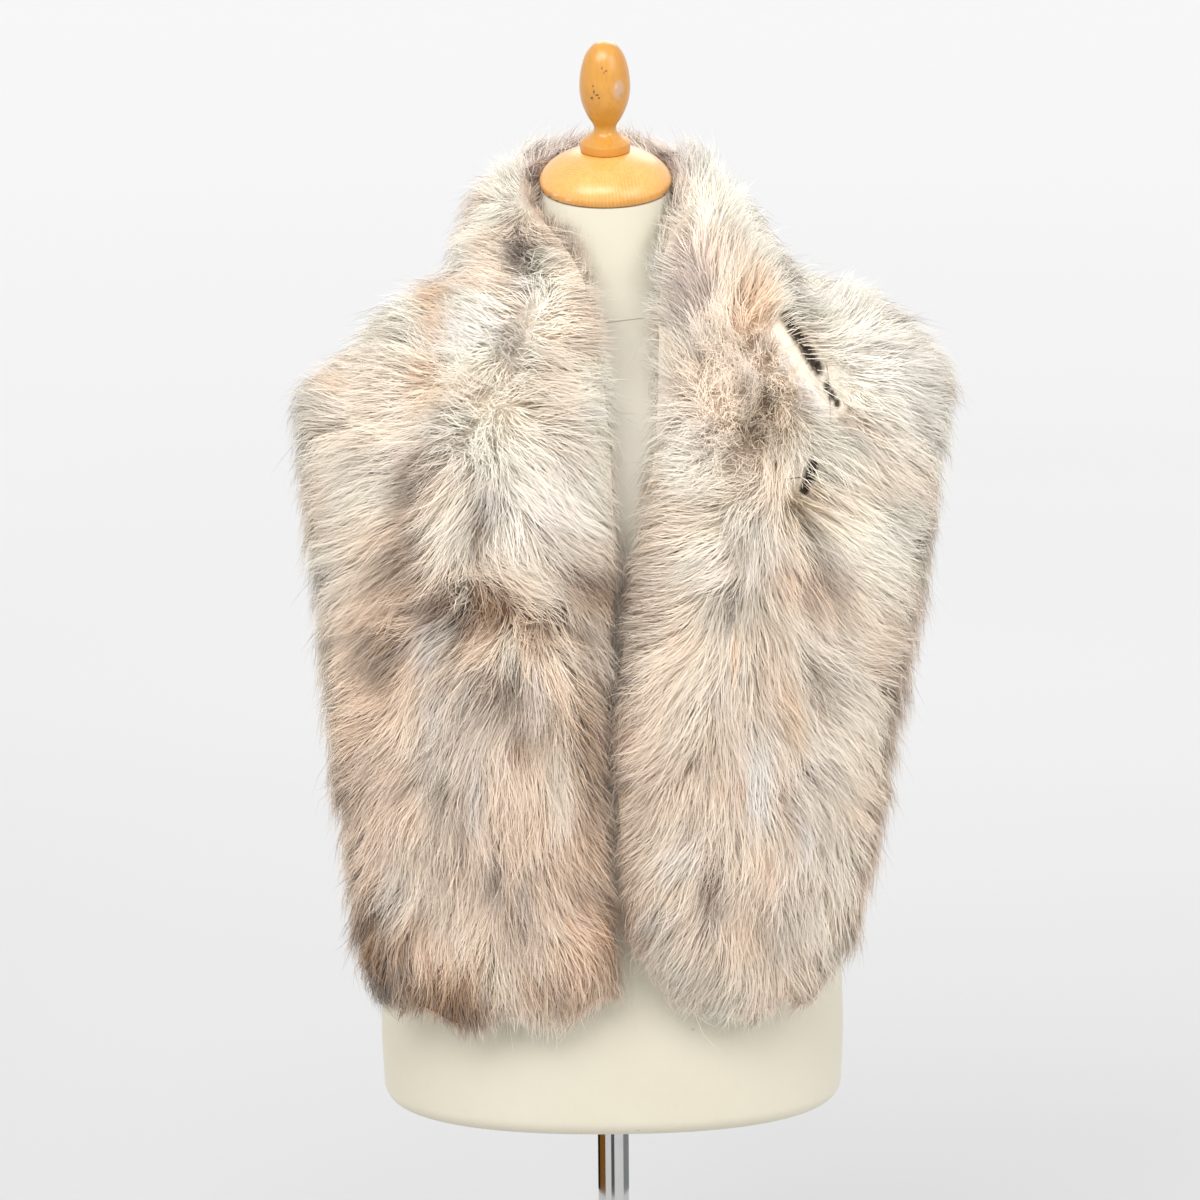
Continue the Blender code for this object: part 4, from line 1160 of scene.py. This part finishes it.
def strandPaths(peltIndex, count, kind):
    roots, normals, _ = scatter(count, peltIndex)
    _, _, density = coatAt(roots, normals)
    kept = rng.random(count) < density
    roots, normals = roots[kept], normals[kept]
    near = [leaderTree.find_n(Vector(p), 3) for p in roots]
    index = np.array([[hit[1] for hit in hits] for hits in near])
    away = np.array([[hit[2] for hit in hits] for hits in near])
    weight = 1 / (away + strandLook["nearness"]) ** 2
    weight /= weight.sum(1, keepdims=True)
    own = (leaders["path"][index] * weight[:, :, None, None]).sum(1)
    own += (roots - own[:, 0])[:, None, :]
    outs = unit((leaders["out"][index] * weight[:, :, None, None]).sum(1))
    first = index[:, 0]
    length = leaders["length"][first] * kind["length"]
    length = length * (1 + kind["spread"] * rng.standard_normal(len(roots)).clip(-2, 2))
    overhang = rng.standard_normal(len(roots)).clip(-1, 1.5)
    overhang = coatLook["overhang"] + coatLook["overhangSpread"] * overhang
    limit = np.where(leaders["whole"][first], np.inf, leaders["reach"][first] + overhang)
    kept = length * coatLook["trimmedTo"] < limit
    length = np.minimum(length, limit)
    share = (length / leaders["length"][first]).clip(*strandLook["reachLimits"])
    steps = own.shape[1] - 1
    lift = np.linspace(0, 1, kind["segments"] + 1)
    at = (share[:, None] * lift[None] * steps).clip(0, steps * strandLook["overrun"])
    low = np.minimum(at.astype(int), steps - 1)
    part = (at - low)[:, :, None]
    rows = np.arange(len(own))[:, None]

    def atSteps(values, part):  # what the leaders' rows say at the strand's own steps
        return values[rows, low] * (1 - part) + values[rows, low + 1] * part

    path = atSteps(own, part)
    led = atSteps(leaders["path"][first], part)
    out = unit(atSteps(outs, part))
    loose = 1 - strandLook["curlLoosening"] * leaders["curl"][first]
    pull = kind["pull"] * lift[None, :, None] ** strandLook["pullPower"] * loose[:, None, None]
    path = path * (1 - pull) + led * pull
    deep = (leaders["depth"][index] * weight[:, :, None]).sum(1)
    deep = atSteps(deep, part[:, :, 0])
    pile = deep * (1 - peltLook["underShare"])
    tip = kind["tipDepth"] + kind["tipSpread"] * rng.standard_normal(len(roots)).clip(-1.6, 2)
    tip = tip + strandLook["tuftDepth"] * leaders["tone"][first]
    tip += coatLook["lockDepth"] * leaders["tone"][leaders["lock"][first]].clip(-1.0, 2)
    sunk = np.minimum(tip[:, None], pile * strandLook["deepestTip"])
    sunk = sunk + (pile + strandLook["rootSink"] - sunk) * (1 - lift[None]) ** strandLook["risePower"]
    fluff = smoothStep(coatLook["thinBelow"], 0.0, deep[:, :1]) * coatLook["thinLift"] * lift[None]
    path = path - out * (sunk - fluff)[:, :, None]
    way = unit(np.gradient(path, axis=1))
    side = unit(np.cross(way, out))
    curl = leaders["curl"][first][:, None]
    turns, curlTurns = strandLook["waveTurns"]
    swing, curlSwing = strandLook["waveSwing"]
    phase = rng.random((len(roots), 1)) * aTurn
    wave = np.sin(lift[None] * (turns + curlTurns * curl) + phase) * lift[None]
    aside = rng.standard_normal((len(roots), 1)) * kind["stray"] * length[:, None]
    aside = aside * lift[None] ** strandLook["strayPower"]
    path = path + side * (wave * (swing + curlSwing * curl) + aside)[:, :, None]
    standing = rng.random((len(roots), 1)) < strandLook["standing"]
    standing = standing * rng.uniform(0.2, 1.0, (len(roots), 1)) * strandLook["rise"]
    path = path + out * (standing * lift[None] ** 2)[:, :, None]
    phase = rng.random((len(roots), 1)) * aTurn
    coil = np.cos(lift[None] * strandLook["coilTurns"] + phase) * lift[None]
    path = path + out * (coil * strandLook["coil"] * curl)[:, :, None]
    between = np.concatenate([path[:, 1:], (path[:, 1:] + path[:, :-1]) / 2], 1)
    over = photoPatches(between.reshape(-1, 3), slitCores).max(1)
    over = over.reshape(len(path), -1).max(1) > 0.5
    over &= rng.random(len(path)) > slitLook["crossing"]
    kept &= ~(over & (turnedToCamera(path[:, 0], normals) > -0.1))
    return path[kept], out[kept], first[kept]


def ribbonMesh(name, path, out, first, kind):
    count, rows = path.shape[:2]
    segments = rows - 1
    way = unit(np.gradient(path, axis=1))
    side = unit(np.cross(way, out))
    up = np.cross(side, way)
    twist = (rng.random((count, 1)) * 2 - 1) * kind["twist"]
    side = side * np.cos(twist)[:, :, None] + up * np.sin(twist)[:, :, None]
    lift = np.linspace(0, 1, rows)
    root, more, bias = strandLook["taper"]
    least, spread = strandLook["widths"]
    width = kind["width"] * (root + more * np.sin(np.pi * lift.clip(0, 1) ** bias)) * (1 - lift**3)
    half = width[None, :, None] / 2 * (least + spread * rng.random((count, 1, 1)))
    corners = np.empty((count, 2 * segments + 1, 3))
    corners[:, 0:-1:2] = (path - side * half)[:, :-1]
    corners[:, 1:-1:2] = (path + side * half)[:, :-1]
    corners[:, -1] = path[:, -1]
    lifts = np.append(np.repeat(lift[:-1], 2), 1.0)
    base = np.arange(count)[:, None] * (2 * segments + 1)
    order = [2 * k + corner for k in range(segments - 1) for corner in (0, 1, 3, 2)]
    order += [2 * segments - 2, 2 * segments - 1, 2 * segments]
    loops = base + np.array([order])
    loopStarts = np.arange(count)[:, None] * len(order) + np.arange(segments)[None] * 4
    mesh = bpy.data.meshes.new(name)
    mesh.vertices.add(corners.shape[0] * corners.shape[1])
    mesh.vertices.foreach_set("co", corners.astype(np.float32).ravel())
    mesh.loops.add(loops.size)
    mesh.loops.foreach_set("vertex_index", loops.astype(np.int32).ravel())
    mesh.polygons.add(count * segments)
    mesh.polygons.foreach_set("loop_start", loopStarts.astype(np.int32).ravel())
    mesh.update(calc_edges=True)
    # The UV map: a small upright cell for each strand
    columns = int(math.ceil(math.sqrt(count * bakeCell["slimness"])))
    cellRows = int(math.ceil(count / columns))
    cellX = (np.arange(count) % columns)[:, None]
    cellY = (np.arange(count) // columns)[:, None]
    across = np.append(np.tile(bakeCell["sides"], segments), 0.5)[None]
    u = (cellX + across) / columns
    v = (cellY + bakeCell["foot"] + bakeCell["height"] * lifts[None]) / cellRows
    uv = np.stack([u, v], 2).reshape(-1, 2)[loops.ravel()]
    mesh.uv_layers.new(name="OFBake").uv.foreach_set("vector", uv.astype(np.float32).ravel())
    # Colour, from root to tip
    tint = coatColour(path[:, -2], out[:, -2])
    light = paleness(tint)
    tone = leaders["tone"][first] * colourLook["tuftStreak"]
    tone = tone + leaders["tone"][leaders["lock"][first]] * colourLook["lockStreak"]
    tone = tone[:, None] + rng.standard_normal((count, 1)) * colourLook["streak"]
    darkest, drop = colourLook["streakShades"]
    tone = tone * (darkest - drop * light)
    tint = tint * np.exp(tone)
    pale = (tint @ lumaShares)[:, None] * creamTint
    tint += (pale - tint) * smoothStep(0, 0.7, tone) * colourLook["paling"]
    # Roots darker and warmer: partly their own colour, partly painted shade between the locks
    darkRoot, lightRoot = colourLook["rootShades"]
    root = tint * (darkRoot + (lightRoot - darkRoot) * light) * np.array(colourLook["rootWarmth"])
    shown = turnedToCamera(path[:, 0], out[:, 0]) > 0
    dark = photoPatches(path[:, 0], darkRoots).max(1) * shown
    root += (linearShades["black"] - root) * dark[:, None] * slitLook["rootDark"]
    tip = tint + (linearShades["white"] - tint) * colourLook["tipShade"] * rng.random((count, 1)) ** 2
    fade = lifts[None, :, None]
    colour = root[:, None] + (tint - root)[:, None] * smoothStep(0, colourLook["rootTo"], fade)
    colour += (tip - tint)[:, None] * smoothStep(colourLook["tipFrom"], 1, fade)
    highest = colourLook["highest"]
    # The palest hairs keep their hue
    colour = colour / np.maximum(colour.max(2, keepdims=True) / highest, 1)
    paintCoat(mesh, colour.clip(0.01, highest))
    mesh.shade_smooth()
    flat = np.cross(way, side)
    flat *= np.sign((flat * out).sum(2, keepdims=True))
    normal = unit(out * strandLook["normalBlend"] + flat * (1 - strandLook["normalBlend"]))
    shown = np.concatenate([np.repeat(normal[:, :-1], 2, axis=1), normal[:, -1:]], 1).reshape(-1, 3)
    mesh.normals_split_custom_set_from_vertices(shown.tolist())
    return mesh


def furMaterial():
    surface = {"Roughness": 0.62, "Sheen Weight": 0.35, "Sheen Roughness": 0.45, "Specular IOR Level": 0.35}
    material, tree, shader = newMaterial("fur", surface)
    colour = addNode(tree, "ShaderNodeAttribute", attribute_name="coatColour").outputs["Color"]
    vector = objectVector(tree)
    fine = noiseAt(tree, vector, 900.0, 2.0)
    mottle = mixed(tree, fine, (0.55, 0.52, 0.49), (1.0, 1.0, 1.0))
    shaded = mixed(tree, 0.12, colour, mottle, blend="MULTIPLY")
    tree.links.new(shaded, shader.inputs["Base Color"])
    tree.links.new(maths(tree, "ADD", 0.5, maths(tree, "MULTIPLY", fine, 0.25)), shader.inputs["Roughness"])
    return material


def underfurMaterial():
    material, tree, shader = newMaterial("underfur", {"Roughness": 0.95, "Specular IOR Level": 0.1})
    colour = addNode(tree, "ShaderNodeAttribute", attribute_name="coatColour").outputs["Color"]
    vector = objectVector(tree)
    tufts = noiseAt(tree, vector, 260.0, 4.0, 0.7)
    # Painted shade: the underfur is darker in the hollows between its tufts
    hollowShade = ramp(tree, tufts, [(0.3, (0.62, 0.60, 0.58)), (0.7, (1.0, 1.0, 1.0))])
    shaded = mixed(tree, 1.0, colour, hollowShade, blend="MULTIPLY")
    places = [(px, py, slitLook["paleHalf"], slitLook["paleTone"]) for px, py in palePixels]
    # The openings' underfur is stained near black as painted shade; the pale strip beside them keeps its
    # own tone
    places += [(px, py, half + 3, slitLook["tone"]) for px, py, half in slits]
    underTree = treeOf(
        np.concatenate([underfurPoints(pelt) for pelt in splitPelts]),
        np.concatenate([pelt["faces"] + start for pelt, start in zip(splitPelts, starts)]),
    )
    for spot, (_, _, half, tone) in zip(seenSpots(underTree, [place[:2] for place in places]), places):
        wide = half * slitLook["pixel"]
        size = (wide * 1.1, 0.02, wide * 1.5)
        mask = spotMask(tree, vector, spot, size, 0.6, Ragged_Scale=420.0, Ragged=0.7)
        shaded = stained(tree, shaded, mask, 0.92, tone)
    tree.links.new(shaded, shader.inputs["Base Color"])
    bumped(tree, shader, tufts, 0.9, 0.003)
    return material


def skinMaterial():
    material, tree, shader = newMaterial("tannedSkin", {"Roughness": 0.9, "Sheen Weight": 0.2})
    vector = objectVector(tree)
    pores = addNode(tree, "ShaderNodeTexVoronoi", {"Vector": vector, "Scale": 420.0}).outputs["Distance"]
    soft = noiseAt(tree, vector, 24.0, 4.0)
    base = mixed(tree, soft, linear((222, 208, 186)), linear((196, 178, 152)))
    tree.links.new(stained(tree, base, pores, 0.3, (170, 150, 124)), shader.inputs["Base Color"])
    bumped(tree, shader, pores, 0.3, 0.0005)
    return material


def pieceName(label, pelt):
    return label + "_" + pelt["name"].replace("_pelt", "")


def underfurPoints(pelt):
    points = pelt["below"] + (pelt["points"] - pelt["below"]) * peltLook["underShare"]
    lifted = pelt["points"] + pelt["inset"]
    lifted[pelt["onFur"]] = (points + pelt["inset"])[pelt["onFur"]]
    skinFaces = pelt["skinFaces"]
    toFur = cornerSums(len(lifted), skinFaces, -faceNormals(pelt["points"], skinFaces))
    rest = ~pelt["onFur"]
    lifted[rest] += unit(toFur)[rest] * (peltLook["skinThickness"] + 0.0003)
    return lifted


def makeUnderfur(pelt, material):  # the dense underfur as a closed body over the skin
    name = pieceName("underfur", pelt)
    mesh = meshOf(name, underfurPoints(pelt), pelt["faces"])
    colour = coatColour(pelt["points"], pelt["normals"])
    light = paleness(colour)
    least, more = colourLook["underShades"]
    colour = colour * (least + more * light) * colourLook["underWarmth"]
    paintCoat(mesh, colour)
    return addPiece(name, mesh, material)


def makeSkin(pelt, material):  # the tanned skin that the fur grows from, the sheet of each pelt
    name = pieceName("skin", pelt)
    used, faces = np.unique(pelt["skinFaces"], return_inverse=True)
    points, faces = (pelt["points"] + pelt["inset"])[used], faces.reshape(-1, 3)
    cross = faceNormals(points, faces)
    inner = points - unit(cornerSums(len(points), faces, cross)) * peltLook["skinThickness"]
    keys = {tuple(pair) for pair in facePairs(faces).tolist()}
    rim = [(a, b) for a, b in keys if (b, a) not in keys]
    count = len(points)
    shell = faces.tolist() + [[a + count, c + count, b + count] for a, b, c in faces.tolist()]
    shell += [[b, a, a + count, b + count] for a, b in rim]
    area = np.linalg.norm(cross, axis=1).sum() / 2
    low, high = points.min(0), points.max(0)
    mesh = meshOf(name, np.concatenate([points, inner]), shell)
    piece = addPiece(name, mesh, material, [pelt["name"]])
    return piece, area, float(np.linalg.norm(high - low))


# Building the whole
print("frame: dress form, turned wood and stand")
makeForm(jerseyMaterial())
woodTrees = {node: treeOf(*weldedArrays(node)) for node in ("neck_cap", "finial")}
woodMarks = {  # pixel of the photograph, size in metres, softness, strength, tone
    "neck_cap": [
        ((550, 197), (0.0020, 0.006, 0.0012), 0.5, 0.85, (92, 60, 30)),
        ((557, 201), (0.0016, 0.006, 0.0010), 0.5, 0.85, (80, 50, 24)),
        ((565, 204), (0.0024, 0.006, 0.0011), 0.5, 0.8, (104, 68, 34)),
        ((574, 206), (0.0016, 0.006, 0.0009), 0.5, 0.8, (92, 60, 30)),
        ((582, 207), (0.0020, 0.006, 0.0008), 0.6, 0.6, (120, 80, 40)),
        ((555, 195), (0.0034, 0.006, 0.0014), 0.7, 0.5, (236, 222, 200)),
        ((568, 200), (0.0040, 0.006, 0.0012), 0.7, 0.5, (236, 222, 200)),
        ((638, 207), (0.0022, 0.006, 0.0009), 0.6, 0.6, (150, 92, 36)),
    ],
    "finial": [
        # the first mark is painted shade: a soft darker patch over the egg's lower half
        ((606, 115), (0.0100, 0.0100, 0.0120), 0.95, 0.45, (188, 122, 40)),
        ((602, 68), (0.0009, 0.004, 0.0016), 0.6, 0.8, (112, 72, 30)),
        ((606, 71), (0.0013, 0.004, 0.0009), 0.6, 0.85, (96, 60, 26)),
        ((604, 73), (0.0008, 0.004, 0.0015), 0.6, 0.7, (120, 80, 36)),
        ((594, 92), (0.0009, 0.004, 0.0018), 0.5, 0.9, (70, 42, 18)),
        ((597, 95), (0.0017, 0.004, 0.0010), 0.5, 0.95, (56, 34, 16)),
        ((592, 98), (0.0012, 0.004, 0.0012), 0.5, 0.9, (70, 42, 18)),
        ((599, 98), (0.0011, 0.004, 0.0011), 0.5, 0.9, (76, 46, 20)),
        ((593, 86), (0.0007, 0.004, 0.0013), 0.5, 0.8, (80, 50, 20)),
        ((619, 90), (0.0052, 0.006, 0.0088), 0.35, 0.75, (186, 156, 130)),
        ((616, 86), (0.0018, 0.006, 0.0030), 0.8, 0.6, (206, 178, 152)),
        ((621, 95), (0.0020, 0.006, 0.0024), 0.8, 0.6, (160, 128, 100)),
    ],
}


def marksOn(node):
    rows = woodMarks[node]
    places = seenSpots(woodTrees[node], [row[0] for row in rows])
    return [(place, *row[1:]) for place, row in zip(places, rows)]


capCentre = seenSpots(woodTrees["neck_cap"], [(564, 203)])[0]
# The cap's band is a painted shadow line at its foot
capTint, capShadowBand = (0.90, 0.87, 0.98), (-0.001, 0.0014)
capTurn, capShadowTone = (-0.75, 0.1, 0.0), (120, 74, 30)
capMarks = marksOn("neck_cap")
capWood = woodMaterial("capWood", capCentre, capTurn, 118.0, 0.24, capTint, capShadowBand, capShadowTone, capMarks)
eggCentre = tuple(capPlace @ Vector((0.006, 0.016, 0.07)))
# The finial ring's upright side is painted darker, as shade, below its lighter top
ringFoot = domeHeight(turnedLook["ringRadius"])
ringBand = (ringFoot, ringFoot + turnedLook["ringBand"])
eggTint, eggTurn, ringShadeTone = (0.66, 0.58, 0.32), (0.12, 0.05, 0.0), (200, 132, 24)
eggMarks = marksOn("finial")
eggWood = woodMaterial("finialWood", eggCentre, eggTurn, 70.0, 0.08, eggTint, ringBand, ringShadeTone, eggMarks)
makeTurnedWood(capWood, eggWood)
chrome = chromeMaterial("chrome", (0.60, 0.60, 0.595), 0.06, 60.0)
steel = chromeMaterial("brushedSteel", (0.56, 0.56, 0.56), 0.24, 30.0)
makeStand(chrome, steel)

print("stole: skins and underfur")
fur, underfur, skin = furMaterial(), underfurMaterial(), skinMaterial()
skinPieces, grown = {}, {}
for pelt in splitPelts:
    skinPieces[pelt["name"]] = makeSkin(pelt, skin)
    grown[pelt["name"]] = [makeUnderfur(pelt, underfur)]

crosses = [faceNormals(pelt["points"], pelt["furFaces"]) for pelt in splitPelts]
furAreas = np.array([np.linalg.norm(cross, axis=1).sum() / 2 for cross in crosses])
total = strandLook["total"] * 1
for number, pelt in enumerate(splitPelts):
    for label, kind in strandKinds.items():
        wanted = int(total * kind["share"] * furAreas[number] / furAreas.sum())
        path, out, first = strandPaths(number, wanted, kind)
        name = pieceName(label, pelt)
        mesh = ribbonMesh(name, path, out, first, kind)
        grown[pelt["name"]].append(addPiece(name, mesh, fur))
        print("  ", name, len(path), "strands")

for pelt in splitPelts:
    piece, area, across = skinPieces[pelt["name"]]
    print("  ", piece.name, "area", round(area, 4), "diagonal", round(across, 3))

# Floor and light
stageLook = {
    "tone": (0.95, 0.95, 0.955),
    "world": 1.0,
    "floorRadius": 90.0,
    "floorFar": 25.0,
    "floorTones": [  # metres from the stand, and the floor's tone there: painted darker near the stand, where the lamps light it most
        (0.6, 0.570), (1.0, 0.578), (1.6, 0.592), (2.2, 0.625), (2.8, 0.675), (3.4, 0.725), (3.9, 0.775),
        (4.5, 0.835), (5.3, 0.885), (6.5, 0.912), (8.5, 0.940), (11.0, 0.962), (17.0, 0.979),
        (25.0, 0.985),
    ],
}
flagLook = {
    "radius": 0.6,
    "foot": 0.02,
    "height": 0.145,
    "step": 8.0,
    "cards": [  # degrees round the stand from the front, towards +X, and the tone each glows with
        (-180, -119, (26, 20, 14)), (-119, -62, (138, 92, 36)), (-17, 7, (98, 100, 101)),
        (79, 180, (148, 150, 151)),
    ],
}
lampLook = [  # name, place, size, watts
    ("key", (-1.7, -2.6, 3.3), 2.2, 64.0),
    ("fill", (2.3, -2.5, 2.4), 2.4, 40.0),
    ("back", (0.3, 2.6, 3.0), 2.4, 30.0),
    ("top", (0.0, -1.8, 2.6), 1.0, 16.0),
]


def makeStage():
    shape = bmesh.new()
    bmesh.ops.create_circle(shape, cap_ends=True, segments=96, radius=stageLook["floorRadius"])
    mesh = bpy.data.meshes.new("floor")
    shape.to_mesh(mesh)
    shape.free()
    material, tree, shader = newMaterial("floorPaint", {"Roughness": 0.9})
    away = vectorMaths(tree, "LENGTH", objectVector(tree))["Value"]
    far = stageLook["floorFar"]
    stops = [(metres / far, tone) for metres, tone in stageLook["floorTones"]]
    tree.links.new(ramp(tree, maths(tree, "DIVIDE", away, far), stops), shader.inputs["Base Color"])
    mesh.materials.append(material)
    floor = bpy.data.objects.new("floor", mesh)
    bpy.context.scene.collection.objects.link(floor)
    world = bpy.data.worlds.new("studio")
    world.use_nodes = True
    background = world.node_tree.nodes["Background"]
    background.inputs["Color"].default_value = (*stageLook["tone"], 1)
    background.inputs["Strength"].default_value = stageLook["world"]
    bpy.context.scene.world = world


def makeFlags():  # low glowing cards round the stand, seen only in its chrome: painted reflections of a darker studio
    look = flagLook
    for number, (start, stop, tone) in enumerate(look["cards"]):
        steps = max(2, round((stop - start) / look["step"]))
        angles = [math.radians(start + (stop - start) * k / steps) for k in range(steps + 1)]
        foot = [(look["radius"] * math.sin(a), -look["radius"] * math.cos(a)) for a in angles]
        points = [(x, y, z) for x, y in foot for z in (look["foot"], look["height"])]
        faces = [(2 * k, 2 * k + 2, 2 * k + 3, 2 * k + 1) for k in range(steps)]
        name = "flag_" + str(number)
        mesh = meshOf(name, points, faces)
        surface = {"Roughness": 1.0, "Base Color": (0, 0, 0, 1), "Specular IOR Level": 0}
        surface.update({"Emission Color": (*linear(tone), 1), "Emission Strength": 1})
        mesh.materials.append(newMaterial(name, surface)[0])
        card = bpy.data.objects.new(name, mesh)
        card.visible_camera = False
        card.visible_diffuse = False
        card.visible_shadow = False
        card.visible_transmission = False
        card.visible_volume_scatter = False
        bpy.context.scene.collection.objects.link(card)


def makeLamps():
    for name, place, size, watts in lampLook:
        data = bpy.data.lights.new(name, "AREA")
        data.shape = "DISK"
        data.size = size
        data.energy = watts
        lamp = bpy.data.objects.new(name, data)
        lamp.location = place
        aim = photoView["target"] - Vector(place)
        lamp.rotation_mode = "QUATERNION"
        lamp.rotation_quaternion = aim.to_track_quat("-Z", "Y")
        bpy.context.scene.collection.objects.link(lamp)


print("stage: floor, lamps and camera")
makeStage()
makeFlags()
makeLamps()
makeCamera()
bpy.context.scene.view_settings.view_transform = "Standard"
